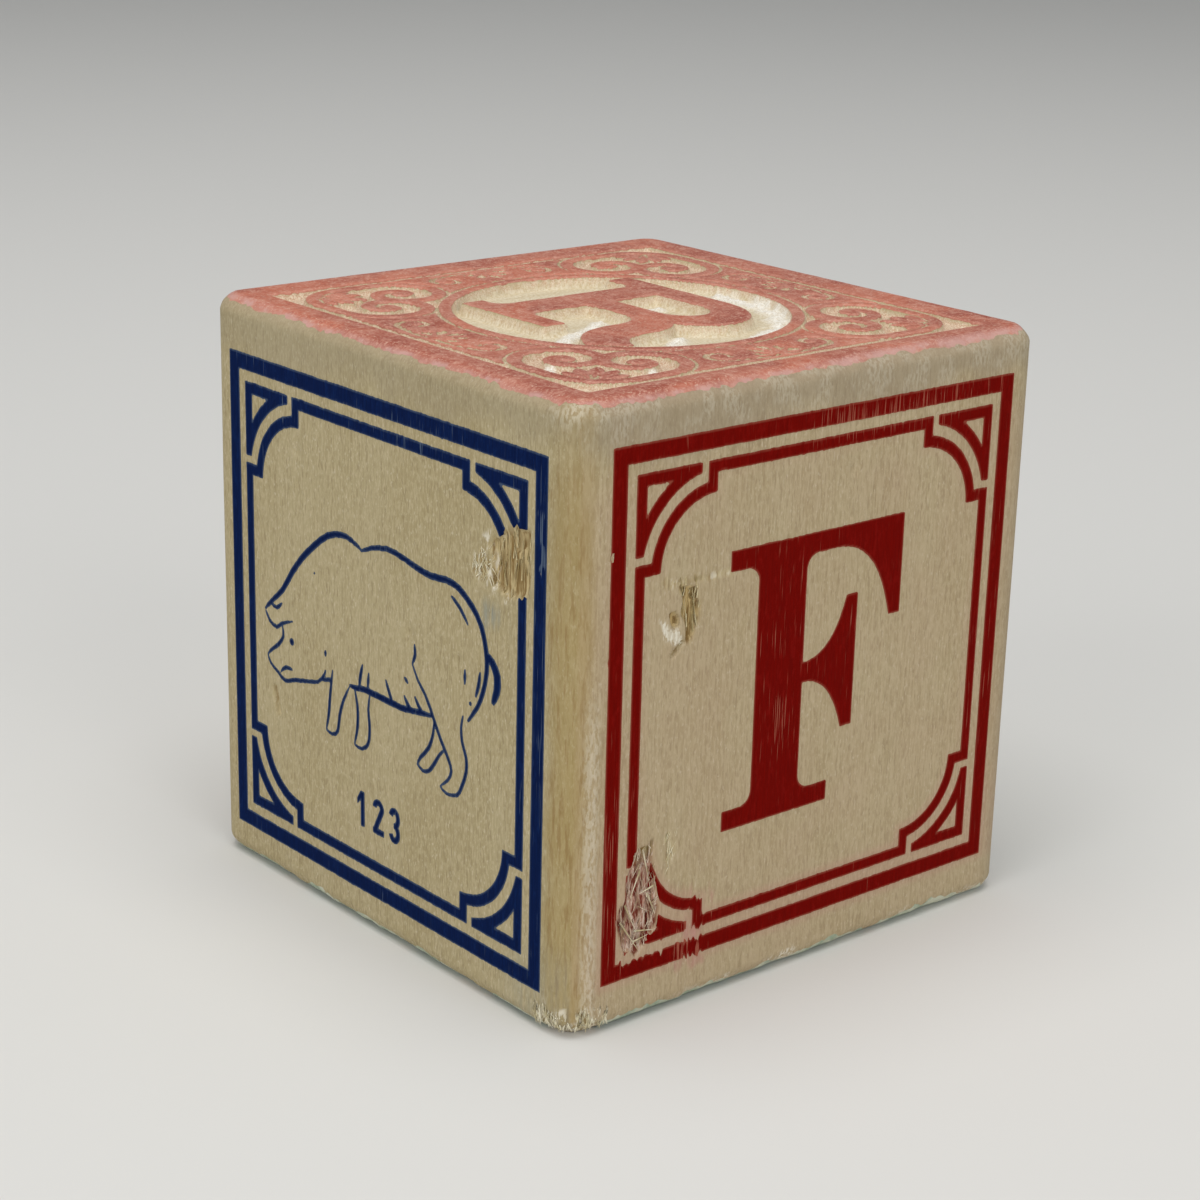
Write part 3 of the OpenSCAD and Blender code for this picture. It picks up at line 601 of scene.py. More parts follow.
class PressedEnd:
    """The relief on one end of the cube, on a grid of places in x and y."""

    def __init__(self, end, step, shift):
        self.end = end
        self.sign, self.level = (1, TOP) if end == "top" else (-1, BASE)
        steps = round(2 * PRESSED_REACH / step)
        self.us = np.linspace(-PRESSED_REACH, PRESSED_REACH, steps + 1)
        self.u, self.v = np.meshgrid(self.us, self.us, indexing="ij")
        self.lands = {}
        for part in LANDS:
            edges = outline_edges(f"{end}_{part}", end)
            self.lands[part] = signed_distance(self.us, self.us, edges)
        # Signed distance to the nearest land, negative on it
        self.sd = np.minimum.reduce(list(self.lands.values()))
        r = np.hypot(self.u - shift[0], self.v - shift[1])
        self.floor = smooth((MEDALLION_R + 0.2 - r) / 0.4)
        self.fuzz = self.torn_ground()
        self.places = np.stack([self.u, self.v, self.level + self.sign * self.height()], axis=-1)
        self.out = np.array([0, 0, self.sign])

    def torn_ground(self):
        """Torn white fibres that stand on the pressed ground, from 0 to 1."""
        fuzz = np.zeros(self.u.shape)
        ragged = 0.5 * rough(self.u, self.v, 0.8, 55)
        for places, width in TORN_GROUND[self.end]:
            near = 1.2 - distance_to_path(self.u, self.v, places) / width + ragged
            fuzz = np.maximum(fuzz, smooth(near) * smooth(self.sd / 0.1))
        return fuzz

    def height(self):
        """Height over the end's flat face: soft shoulders, leaning walls and an uneven pressed ground."""
        u, v = self.u, self.v
        wall = np.maximum(self.sd, 0)
        # The punch drags fibres down its walls in ribs
        ribs = 0.07 * rough(u, v, 0.34, 51) * smooth(wall / 0.12)
        # The walls lean out this far, more in the deeper medallion
        slope = 0.20 + 0.14 * self.floor
        depth = RELIEF_DEPTH + (MEDALLION_DEPTH - RELIEF_DEPTH) * self.floor
        depth = depth + 0.05 * rough(u, v, 0.5, 52) * (1 - 0.7 * self.floor)
        depth = depth * (1 - self.fuzz * (0.3 + 0.25 * rough(u, v, 0.45, 56)))
        shoulder = 0.07 * smooth(1 + np.minimum(self.sd, 0) / 0.3) ** 2
        height = -shoulder - 0.012 * (1 + noise(u, v, 1.6, 1.6, 53))
        return height - np.where(self.sd < 0, 0, smooth((wall + ribs) / slope) * depth)

    def edge_ring(self):
        """Grid indices round the square's rim, from its front left corner, turning towards +X."""
        n = len(self.us)
        k = np.arange(n - 1)
        far = n - 1
        i = np.concatenate([k, np.full(far, far), far - k, np.zeros(far, int)])
        j = np.concatenate([np.zeros(far, int), k, np.full(far, far), far - k])
        return i, j


TOP_END = PressedEnd("top", step=0.16, shift=TOP_SHIFT)
BOTTOM_END = PressedEnd("bottom", step=0.32, shift=BOTTOM_SHIFT)


def strip_faces(end, shell_ids, shell_places, ring_ids, ring_places):
    """Triangles that join the shell's last row to the rim of a pressed end."""
    turn = ring_turn(shell_places)
    order = np.roll(np.arange(len(turn)), -int(np.argmin(turn)))
    faces = zipped(shell_ids[order], turn[order], ring_ids, ring_turn(ring_places))
    return faces if end.sign > 0 else [f[::-1] for f in faces]


def wooden_cube(material):
    """The one solid of wood: its sides with their wear, and its two pressed ends."""
    mesh = Mesh()
    n, m = SHELL.shape[:2]
    tints = side_tints(SHELL_SIDE, SHELL_U, SHELL_Z - MID)
    base = mesh.add(SHELL, grid_faces(n, m, closed=True), **SHELL_LOOKS, **tints)
    for end, row in ((TOP_END, m - 1), (BOTTOM_END, 0)):
        size = len(end.us)
        floor = end.floor * smooth((end.sd - 0.04) / 0.2)
        looks = {"pressed": smooth(end.sd / 0.08), "medallion": floor, "fuzz": end.fuzz}
        looks["under"] = float(end.sign < 0)
        end_base = mesh.add(end.places, grid_faces(size, size, flip=end.sign < 0), **looks)
        i, j = end.edge_ring()
        shell_ids, ring_ids = base + np.arange(n) * m + row, end_base + i * size + j
        strip = strip_faces(end, shell_ids, SHELL[:, row], ring_ids, end.places[i, j])
        mesh.faces += [tuple(int(k) for k in f) for f in strip]
    return mesh.build("wood_block_worn", material)


def side_tints(side, u, v):
    """Where the sides are stained with ink, golden, rosy, grey or cut along the rays, each from 0 to 1."""
    front, left = side == 0, side == 3
    clouds = rough(u, v, 3.0, 28)
    stain = smooth(-(patch(u, v, LEFT_STAIN) + 0.8 * noise(u, v, 0.5, 3, 27)) / 1.6) * left
    stain = stain + 0.35 * smooth((u - 14) / 3) * smooth((-15 - v + clouds) / 3) * left
    # Handling has yellowed the upright edge between the front and the left side
    gold = smooth((u - 18.9 + 0.5 * clouds) / 1.6) * left + smooth((-20.2 - u + 0.3 * clouds) / 0.9) * front
    gold = gold * (0.9 + 0.3 * clouds) * (1 - 0.5 * smooth((v - 13) / 7))
    rosy = (0.75 + 0.25 * clouds) * front * (1 - 0.8 * smooth((v - 15) / 4))
    rosy = rosy + 0.7 * smooth((v - 21.2) / 1.0) * (front | left)
    # Greyer towards the top of each side, at the front's right edge and up the golden edge
    grey = smooth((v - 17.5 + 1.5 * clouds) / 3) * np.where(front, 1.0, 0.6)
    grey = grey + 0.5 * smooth((u - 18.5) / 3) * front + 0.5 * smooth((v - 4) / 14) * gold
    # Front and back are cut along the rays and show long fibres, left and right across them
    quartered = (side % 2 == 0) * 1.0
    tints = {"stain": stain, "gold": gold, "rosy": rosy, "grey": grey, "quartered": quartered}
    return {name: np.clip(value, 0, 1) for name, value in tints.items()}


# Prints on the sides

# Steps of the grid that a print is cut from, across and up
PRINT_STEPS = {"front": (0.1, 0.14), "left": (0.1, 0.14), "right": (0.2, 0.24), "back": (0.2, 0.24)}


def side_to_space(side, u, v, depth):
    """A place on a side, seen from outside, at a depth below its flat face."""
    nx, ny, _ = OUTWARD[side]
    reach = HALF - depth
    return np.stack([nx * reach - ny * u, ny * reach + nx * u, MID + v], axis=-1)


def print_piece(side, part, material):
    """One printed shape: soaked in unevenly along the grain, and missing where the wood is torn."""
    node = f"{side}_{part}"
    edges = outline_edges(node, side)
    du, dv = PRINT_STEPS[side]
    low, high = edges.reshape(-1, 2).min(axis=0) - 0.7, edges.reshape(-1, 2).max(axis=0) + 0.7
    us, vs = np.arange(low[0], high[0], du), np.arange(low[1], high[1], dv)
    exact = signed_distance(us, vs, edges)
    u, v = np.meshgrid(us, vs, indexing="ij")
    # Ink creeps along the fibres in short upright fringes, longest where the front's foot was smeared
    creep = np.maximum(noise(u, v, 0.2, 1.3, 62) - 0.25, 0) * np.sign(noise(u, v, 0.9, 2.0, 63))
    reach = 0.06 + 0.8 * smooth(1.2 - np.abs(v + 17.8) / 0.9) * smooth((-11.5 - u) / 2) * (side == "front")
    bleed = 0.02 * noise(u, v, 0.22, 2.0, 61) + reach * creep
    if side == "front":
        bleed = bleed + 0.35 * noise(u, v, 0.13, 3.0, 66) * smooth(0.6 - patch(u, v, FRONT_SMEAR) / 0.6)
    # The fine lines of the pig came out a little thin, and the solid shapes a little full
    thinned = 0.035 if part == "pig" else -0.012
    field = sampled(us, vs, exact, u, v + bleed) + thinned + 0.008 * noise(u, v, 0.3, 1.0, 64)
    thin_edge = smooth(1.1 + field / (1.2 * du))
    depth, torn = side_damage(side, u, v)[:2]
    # Shreds of ink stay on the fibres at the right of the front's tear
    shreds = smooth((noise(u, v, 0.26, 2.0, 65) - 0.1) * 4) * smooth((u + 17.4) / 2.5) * (side == "front")
    field = np.maximum(field, (torn * (1 - 0.95 * shreds) - 0.16) * 0.6)
    worn = wear_at(side, u, v)
    lift = side_to_space(side, u, v, depth - FILM_LIFT)
    root = side_to_space(side, u, v, depth + FILM_ROOT)
    mesh = Mesh()
    film(mesh, lift, root, field, worn=worn, edge=thin_edge)
    return mesh.build(f"{node}_printed", material, crease=60)


def wear_at(side, u, v):
    """How far the ink is rubbed off, from 0 to 1."""
    worn = 0.12 + 0.16 * noise(u, v, 7, 9, 71)
    if side == "front":
        head = smooth(1 - np.abs(v - 18.2) / 2.6) * smooth((u + 6) / 6) * smooth(1.4 - np.abs(u - 6) / 9)
        stem = smooth(1.2 - np.hypot((u + 3.2) / 1.6, (v + 3) / 3.4))
        serif = smooth(1.2 - np.hypot(u + 8, v - 9.6) / 1.6)
        low_left = smooth((-16.8 - u) / 0.6) * smooth((-2 - v) / 5)
        ragged = patch(u, v, FRONT_SMEAR) + noise(u, v, 0.4, 1.5, 9)
        smear = smooth(0.5 + 2.4 * noise(u, v, 0.22, 2.4, 67)) * smooth(0.8 - ragged / 0.9)
        worn = worn + 0.6 * head + 0.5 * stem + 0.3 * serif + 0.35 * low_left + 0.95 * smear
    if side == "left":
        head = smooth(1 - np.abs(v - 17) / 3) * smooth(1.2 - np.abs(u - 4) / 7)
        rub = smooth(1.2 - distance_to_path(u, v, LEFT_RUB) / 0.8)
        worn = worn + 0.4 * head + 0.7 * rub * smooth(0.5 + 2.4 * noise(u, v, 0.25, 1.6, 68))
    return np.clip(worn, 0, 1)


# Paint on the pressed ends


def land_piece(end, part, material):
    """One painted land of a pressed end."""
    mesh = Mesh()
    field = end.lands[part] + 0.03 * rough(end.u, end.v, 0.35, 81)
    rub = smooth(1 + end.lands[part] / 0.35)
    film(mesh, end.places + end.out * FILM_LIFT, end.places - end.out * FILM_ROOT, field, rub=rub, side=0)
    if end.sign < 0:
        mesh.faces = [f[::-1] for f in mesh.faces]
    if part == "border_paint":
        add_rim_paint(mesh, end)
    return mesh.build(f"{end.end}_{part}_rolled", material, merge=0.002, crease=60)


# How far the paint of each end reaches down the rim, in millimetres, and how patchy it is there
RIM_PAINT = {"top": (0.38, 0.3), "bottom": (0.62, 1.1)}
# Rows of the profile that it can cover
PAINT_ROWS = RIM_STEPS + 10


def paint_reach(end, x, y):
    """How far down the rim an end's paint comes, all round the cube."""
    mean_reach, patchy = RIM_PAINT[end.end]
    reach = 1 + patchy * rough(x + 0.37 * y, 0.6 * y - x, 2.2, 91)
    reach = reach + 0.25 * noise(x - 0.21 * y, y + 0.3 * x, 0.7, 0.7, 92)
    reach = reach + 0.35 * noise(x, y, 0.33, 0.33, 93)
    # The corners took more knocks, so their paint ends sooner
    past_x, past_y = np.abs(x) - FLAT, np.abs(y) - FLAT
    at_corner = smooth(np.hypot(past_x, past_y) / EDGE_R) * (past_x > 0) * (past_y > 0)
    return mean_reach * np.maximum(reach, 0.15) * (1 - 0.5 * at_corner)


def closed(rows):
    """Rows with the first one again after the last."""
    return np.concatenate([rows, rows[:1]])


def add_rim_paint(mesh, end):
    """The border's paint carries on to the rim and a little way down the sides, where it is rubbed."""
    rows = slice(-PAINT_ROWS, None) if end.sign > 0 else slice(0, PAINT_ROWS)
    inset, lean = PROFILE[rows, 0][None], np.abs(PROFILE[rows, 2])[None]
    down = np.abs(PROFILE[rows, 1] - end.level)[None]
    x, y = COLUMNS[:, 0][:, None], COLUMNS[:, 1][:, None]
    reach = paint_reach(end, x, y)
    field = np.maximum(down - reach, SHELL_KNOCKED[:, rows] - 0.1)
    lift = THIN_LIFT + (FILM_LIFT - THIN_LIFT) * smooth((reach - down) / 0.2)
    upper = SHELL[:, rows] + SHELL_OUT[:, rows] * lift[..., None]
    lower = SHELL[:, rows] - SHELL_OUT[:, rows] * FILM_ROOT
    # It is paler along its right half and at its far left, partly from dust and partly as a painted sheen
    # where the rim glances towards the sky
    dust_and_sheen = 0.35 * np.maximum(smooth((x + 6) / 10), smooth((y - 6) / 10)) * smooth(1.9 - inset)
    side = np.clip(dust_and_sheen + (1 - dust_and_sheen) * down / reach, 0, 1)
    rub = np.broadcast_to(smooth(1.6 - lean / 60), field.shape)
    film(mesh, closed(upper), closed(lower), closed(field), rub=closed(rub), side=closed(side))
    # A strip of paint joins it to the border's paint on the end
    row = -1 if end.sign > 0 else 0
    last = SHELL[:, row] + SHELL_OUT[:, row] * FILM_LIFT
    i, j = end.edge_ring()
    ring = end.places[i, j] + end.out * FILM_LIFT
    ids = np.arange(len(last) + len(ring))
    faces = strip_faces(end, ids[: len(last)], last, ids[len(last) :], ring)
    mesh.add(np.concatenate([last, ring]), faces, rub=0.1)


# Frayed fibres


# No strand stands further than this from the middle of the cube
STRAND_REACH = HALF + 0.02


def fibre(mesh, start, ahead, out, length, width, curl, inked, dry):
    """One tapered strand: a bent sliver with three sides."""
    ahead, out = np.asarray(ahead, float), np.asarray(out, float)
    ahead /= np.linalg.norm(ahead)
    across = np.cross(ahead, out)
    steps = 5
    rings, faces = [], []
    for k in range(steps + 1):
        t = k / steps
        rise, sway = curl * sin(pi * t * 0.6), 0.5 * curl * sin(pi * t)
        middle = start + ahead * length * t + out * rise + across * sway
        r = width / 2 * (1 - 0.85 * t)
        rings += [middle + across * r, middle - across * r, middle + out * r * 0.8]
    rings = np.clip(rings, (-STRAND_REACH, -STRAND_REACH, BASE), (STRAND_REACH, STRAND_REACH, TOP))
    for k in range(steps):
        for s in range(3):
            a, b = 3 * k + s, 3 * k + (s + 1) % 3
            faces.append((a, a + 3, b + 3, b))
    faces += [(2, 1, 0), (3 * steps, 3 * steps + 1, 3 * steps + 2)]
    mesh.add(rings, faces, inked=inked, dry=dry)


# Torn places with their strands: how many, the longest, how steeply they lean, how far they are stained
# with ink, and how dry and white they are
STRANDS_IN = [
    ("front", FRONT_TEAR, 70, 2.4, 0.25, 0.6, 0.4), ("front", FRONT_TEAR, 26, 2.4, 0.9, 0.3, 0.6),
    ("front", FRONT_SCUFF, 26, 2.4, 0.3, 0, 0.6), ("front", FRONT_POCKET, 26, 2.4, 0.15, 0, 0.1),
    ("front", FRONT_FLAP, 30, 0.8, 1.2, 0, 1), ("left", LEFT_TEAR, 34, 2.4, 0.15, 0, 0),
    ("left", LEFT_FRAY, 44, 1.4, 0.7, 0, 0.9),
]
# Long strands that lie across the front's lower tear, from end to end, and how wide they are
LONG_STRANDS = [
    ((-15.7, -9.6), (-14.9, -12.7)), ((-17.2, -13.4), (-16.2, -15.5)), ((-17.6, -14.6), (-15.7, -17.4)),
    ((-16.3, -15.6), (-14.3, -16.0)), ((-15.9, -11.1), (-16.8, -13.2)), ((-14.6, -12.6), (-16.0, -12.9)),
    ((-15.2, -13.0), (-14.4, -14.8)), ((-16.4, -16.4), (-15.0, -16.2)),
]
LONG_WIDTH = 0.19
# Tufts at the knocked corner of the foot: how many, and how wide they are
CORNER_STRANDS = 420
CORNER_WIDTH = 0.13


def frayed_fibres(material):
    """Strands that stand up in the torn places, none higher than the print round them."""
    mesh = Mesh()
    for side, shape, count, longest, lean, inked, dry in STRANDS_IN:
        low, high = np.min(shape, axis=0), np.max(shape, axis=0)
        nx, ny, _ = OUTWARD[side]
        made = 0
        while made < count:
            u, v = rng.uniform(low, high)
            if patch(np.array(u), np.array(v), shape) > -0.1:
                continue
            floor = side_damage(side, np.array([u]), np.array([v]))[0][0]
            length = rng.uniform(0.3, 1) * longest
            tilt = rng.normal(0, lean)
            width = rng.uniform(0.06, 0.14)
            depth = max(floor * rng.uniform(0.2, 1), 0.06)
            start = side_to_space(side, u, v, depth)
            ahead = np.array([-ny * tilt, nx * tilt, rng.choice([-1, 1])])
            room = max(depth - 0.02 - width * 0.5, 0.0)
            curl = min(room, 0.25) * rng.uniform(0.3, 1)
            fibre(mesh, start, ahead, OUTWARD[side], length, width, curl, inked, dry)
            made += 1
    for begin, finish in LONG_STRANDS:
        start, stop = (side_to_space("front", *spot, 0.05) for spot in (begin, finish))
        length = np.linalg.norm(stop - start)
        fibre(mesh, start, stop - start, OUTWARD["front"], length, LONG_WIDTH, 0.0, 0.1, 0.6)
    # Tufts at the knocked corner of the foot
    at_corner = (SHELL_KNOCKED > 0.05) & (SHELL_Z > BASE + 0.3) & (SHELL_Z < BASE + 2.4)
    spots = np.argwhere(at_corner & (SHELL_OUT[..., 2] > -0.4))
    for i, j in spots[rng.choice(len(spots), CORNER_STRANDS)]:
        out = SHELL_OUT[i, j]
        aside = np.cross(out, (0, 0, 1))
        ahead = aside * rng.normal(0, 0.16) + np.array([0, 0, rng.choice([-0.6, 1])])
        ahead = ahead - out * np.dot(ahead, out)
        start = SHELL[i, j] - out * 0.02
        length = rng.uniform(0.4, 1.3) if ahead[2] > 0 else min(rng.uniform(0.3, 0.8), start[2] - BASE)
        fibre(mesh, start, ahead, out, length, CORNER_WIDTH, 0.02, 0, 1)
    return mesh.build("frayed_fibres", material)


# Materials


def linear(colour):
    """An sRGB hex colour as linear numbers."""
    parts = [int(colour[k : k + 2], 16) / 255 for k in (1, 3, 5)]
    return tuple(c / 12.92 if c <= 0.04045 else ((c + 0.055) / 1.055) ** 2.4 for c in parts) + (1,)


def add(tree, kind, sockets=(), output=0, **fields):
    """Adds a shader node, sets its fields, sets or links its sockets, and gives one of its outputs."""
    node = tree.nodes.new("ShaderNode" + kind)
    for name, value in fields.items():
        setattr(node, name, value)
    for name, value in dict(sockets).items():
        if isinstance(value, bpy.types.NodeSocket):
            tree.links.new(value, node.inputs[name])
        else:
            node.inputs[name].default_value = linear(value) if isinstance(value, str) else value
    return node.outputs[output]


# Patterns: how many millimetres their patches measure along x, y and z, then their detail and sharpness.
# Real fibres are a twentieth of a millimetre wide, too fine to show, so they are drawn in bundles.
GRAINS = {
    "bands": ((5.0, 5.0, 17.0), 3, 0.5),
    "strands": ((0.45, 0.45, 11.0), 2, 0.5),
    "fibres": ((0.22, 0.22, 2.8), 3, 0.65),
    "speckle": ((0.2, 0.2, 0.6), 3, 0.7),
    "pores": ((0.18, 0.18, 0.83), 2, 0.5),
    "flecks": ((0.17, 0.17, 0.38), 2, 0.5),
    "threads": ((0.33, 0.33, 2.9), 3, 0.65),
    "shreds": ((0.38, 0.38, 1.7), 3, 0.65),
    "lint": ((0.22, 0.22, 0.62), 2, 0.6),
    "end_grain": ((0.14, 0.14, 0.14), 3, 0.7),
    "ribs": ((0.24, 0.24, inf), 2, 0.5),
    "rings": ((17.0, 1.1, inf), 3, 0.6),
    "stripes": ((0.67, 0.67, 2.0), 2, 0.5),
    "streaks": ((0.125, 0.125, 2.5), 3, 0.6),
    "hairlines": ((0.11, 0.11, 4.0), 2, 0.6),
    "mottle": ((0.33, 0.33, 1.1), 3, 0.7),
    "specks": ((0.14, 0.14, 0.56), 3, 0.7),
    "clouds": ((6.2, 6.2, 6.2), 3, 0.6),
    "glow": ((9.1, 10.0, 10.0), 2, 0.6),
    "patches": ((2.0, 2.0, 2.0), 3, 0.6),
    "blotches": ((0.67, 0.67, 0.67), 4, 0.75),
    "soaked_pores": ((0.2, 0.2, 0.2), 3, 0.7),
}


def grains(tree, *names):
    """The named patterns, each set out at its real size."""
    place = add(tree, "TexCoord", output="Object")
    found = []
    for name in names:
        size, detail, sharp = GRAINS[name]
        scaled = add(tree, "Mapping", {"Vector": place, "Scale": [1 / (mm * MM) for mm in size]})
        settings = {"Vector": scaled, "Scale": 1.0, "Detail": detail, "Roughness": sharp}
        found.append(add(tree, "TexNoise", settings))
    return found


def held(tree, name, share=1.0):
    """A number that the mesh holds at each vertex, times a share."""
    number = add(tree, "Attribute", output="Fac", attribute_name=name)
    return add(tree, "Math", {0: number, 1: share}, operation="MULTIPLY")


def coat(tree, under, over, pattern, low=None, high=None, share=1.0):
    """Lays a colour on another: as much of it as the pattern says, or from none where the pattern is at low
    to a full share where it is at high."""
    if low is not None:
        ends = {"Value": pattern, "From Min": low, "From Max": high, "To Max": share}
        pattern = add(tree, "MapRange", ends, interpolation_type="SMOOTHSTEP")
    return add(tree, "Mix", {0: pattern, 6: under, 7: over}, output=2, data_type="RGBA")


def coats(tree, colour, *layers):
    """Lays one coat after another. Each layer is a colour, its pattern and what else coat takes."""
    for layer in layers:
        colour = coat(tree, colour, *layer)
    return colour


def new_material(name, specular):
    """A material with its node tree and its shader."""
    material = bpy.data.materials.new(name)
    material.use_nodes = True
    shader = material.node_tree.nodes["Principled BSDF"]
    shader.inputs["IOR"].default_value = 1.5
    shader.inputs["Specular IOR Level"].default_value = specular
    return material, material.node_tree, shader


def surfaced(tree, shader, colour, grain, smoothest, roughest, bump_mm):
    """Links the colour, and makes the surface rougher and higher where its grain is high."""
    ends = {"Value": grain, "From Min": 0.3, "From Max": 0.7, "To Min": smoothest, "To Max": roughest}
    tree.links.new(colour, shader.inputs["Base Color"])
    tree.links.new(add(tree, "MapRange", ends), shader.inputs["Roughness"])
    tree.links.new(add(tree, "Bump", {"Height": grain, "Distance": bump_mm * MM}), shader.inputs["Normal"])


def wood_colour(tree):
    """Bare basswood: soft bands, upright fibres, fine pores and pale flecks. Sides cut along the rays show
    their fibres more."""
    names = ("bands", "strands", "fibres", "speckle", "pores", "flecks")
    bands, strands, fibres, speckle, pores, flecks = grains(tree, *names)
    along_rays = add(tree, "MapRange", {"Value": held(tree, "quartered"), "To Min": 0.24, "To Max": 0.52})
    colour = coats(
        tree, "#AD9E78",
        ("#A5956D", bands, 0.35, 0.68),
        ("#9A8963", strands, 0.45, 0.75, 0.35),
        ("#C2B390", fibres, 0.44, 0.58, along_rays),
        ("#C4B592", speckle, 0.48, 0.60, 0.50),
        ("#85734E", pores, 0.56, 0.66, 0.40),
        ("#D6CBB0", flecks, 0.60, 0.72, 0.45),
    )
    return colour, fibres


def basswood():
    """Basswood, sawn and sanded: matt and pale, with faint upright fibres. Torn wood is browner and
    striped, and the pressed ground shows its end grain, paler and fuzzy."""
    material, tree, shader = new_material("basswood_sanded", 0.3)
    colour, fibres = wood_colour(tree)
    names = ("threads", "shreds", "lint", "end_grain", "ribs", "rings")
    threads, shreds, lint, end_grain, ribs, rings = grains(tree, *names)
    torn = coat(tree, "#8E7444", "#C8B88E", threads, 0.40, 0.60)
    # Painted shade: darker brown for torn wood down in hollows
    hollow_shade = coat(tree, "#7A5C2C", "#C2A56C", threads, 0.42, 0.60)
    inked = coats(tree, "#7A3524", ("#B58D79", shreds, 0.42, 0.52), ("#DCC6B4", shreds, 0.54, 0.62))
    # The punch crushed the end grain: a coarse ground, and a smoother floor with growth rings
    ground = coats(tree, "#C09A7E", ("#A9AC88", held(tree, "under")), ("#DDCBB0", end_grain, 0.38, 0.62))
    crushed = add(tree, "Mix", {0: 0.5, 2: ribs, 3: end_grain})
    floor = coats(tree, "#C8B693", ("#DCD0B6", crushed, 0.40, 0.58), ("#BCA77F", rings, 0.44, 0.62, 0.3))
    fuzz = coat(tree, "#D2C6B0", "#F0EBE0", end_grain, 0.35, 0.6)
    pale = held(tree, "pale")
    colour = coats(
        tree, colour,
        # Handling, old ink and age tint the bare wood rosy, pink and golden, and it is greyer towards the
        # top of the sides, at the front's right edge and up the golden edge
        ("#B2967C", held(tree, "rosy", 0.42)),
        ("#90846E", held(tree, "grey", 0.55)),
        ("#B98079", held(tree, "blush", 0.95)),
        ("#9A824A", held(tree, "gold", 0.60)),
        ("#86683A", threads, 0.50, 0.64, held(tree, "gold", 0.55)),
        # Torn wood shows fresh fibres, pink or red under the ink, and darker brown down in the hollows,
        # which is painted shade
        (torn, held(tree, "torn")),
        (hollow_shade, held(tree, "hollow_shade", 0.8)),
        (inked, held(tree, "inked")),
        ("#7E8A88", threads, 0.2, 0.8, held(tree, "stain", 0.75)),
        (ground, held(tree, "pressed")),
        (floor, held(tree, "medallion")),
        # Loose fibres and lint catch the light
        ("#E2DAC6", lint, 0.42, 0.56, pale),
        ("#E2DAC6", pale, 0.85, 1.0, 0.5),
        (fuzz, held(tree, "fuzz")),
    )
    grooves = add(tree, "Math", {0: fibres, 1: threads}, operation="ADD", use_clamp=True)
    surfaced(tree, shader, colour, grooves, 0.66, 0.74, 0.05)
    return material


def torn_strands():
    """Basswood fibres pulled loose: dry, pale and matt, and pink where ink still clings to them."""
    material, tree, shader = new_material("basswood_frayed", 0.2)
    [stripes] = grains(tree, "stripes")
    dry = coat(tree, "#CFC39C", "#F0E9D0", stripes, 0.35, 0.60)
    pink = coat(tree, "#A06A5A", "#DDC0B2", stripes, 0.40, 0.60)
    colour = coats(
        tree, "#A3905F",
        ("#D3C59C", stripes, 0.35, 0.65),
        (dry, held(tree, "dry")),
        (pink, held(tree, "inked")),
    )
    surfaced(tree, shader, colour, stripes, 0.75, 0.85, 0.02)
    return material


def printing_ink(name, deep, thin, light, rubbed):
    """Printing ink on bare wood: matt and solid, with fine upright streaks where the fibres took less
    of it, thinner at its edges, and wood showing where it is rubbed."""
    material, tree, shader = new_material(name, 0.03)
    streaks, mottle, hairlines, specks = grains(tree, "streaks", "mottle", "hairlines", "specks")
    worn = held(tree, "worn")
    scratches = add(tree, "Math", {0: worn, 1: 0.30, 2: hairlines}, operation="MULTIPLY_ADD")
    missing = add(tree, "Math", {0: worn, 1: 0.20, 2: specks}, operation="MULTIPLY_ADD")
    colour = coats(
        tree, deep,
        (thin, streaks, 0.35, 0.65),
        (light, mottle, 0.52, 0.66, 0.45),
        (rubbed, held(tree, "edge", 0.5)),
        (rubbed, scratches, 0.70, 0.80, 0.65),
        (rubbed, worn, 0.60, 1.00, 0.30),
        ("#C4B49A", missing, 0.78, 0.92, 0.50),
    )
    surfaced(tree, shader, colour, streaks, 0.70, 0.80, 0.02)
    return material


def washed_paint(name, deep, plain, warm, pale, rim, bare, ends):
    """Thin paint rolled on end grain: it sinks into the pores unevenly and is palest where the lands
    are rubbed. Down the rim it fades to a patchy chalky haze and then, past the share ends, to bare wood."""
    material, tree, shader = new_material(name, 0.4)
    names = ("clouds", "glow", "blotches", "soaked_pores", "patches")
    clouds, glow, blotches, pores, patches = grains(tree, *names)
    down = add(tree, "Mix", {0: 0.3, 2: held(tree, "side"), 3: pores})
    hazy = {"Value": patches, "From Min": 0.40, "From Max": 0.60, "To Min": 0.2, "To Max": 0.8}
    haze = add(tree, "MapRange", hazy, interpolation_type="SMOOTHSTEP")
    colour = coats(
        tree, plain,
        (deep, clouds, 0.36, 0.64),
        (warm, glow, 0.48, 0.60, 0.7),
        (pale, blotches, 0.48, 0.62, 0.5),
        (deep, blotches, 0.46, 0.36, 0.5),
        (pale, pores, 0.45, 0.62, 0.4),
        (bare, pores, 0.58, 0.68, 0.5),
        (pale, held(tree, "rub", 0.35)),
        (rim, down, 0.20, 0.62, haze),
        (wood_colour(tree)[0], down, ends, min(ends + 0.25, 1)),
    )
    pits = add(tree, "Math", {0: blotches, 1: pores}, operation="ADD", use_clamp=True)
    surfaced(tree, shader, colour, pits, 0.50, 0.58, 0.05)
    return material


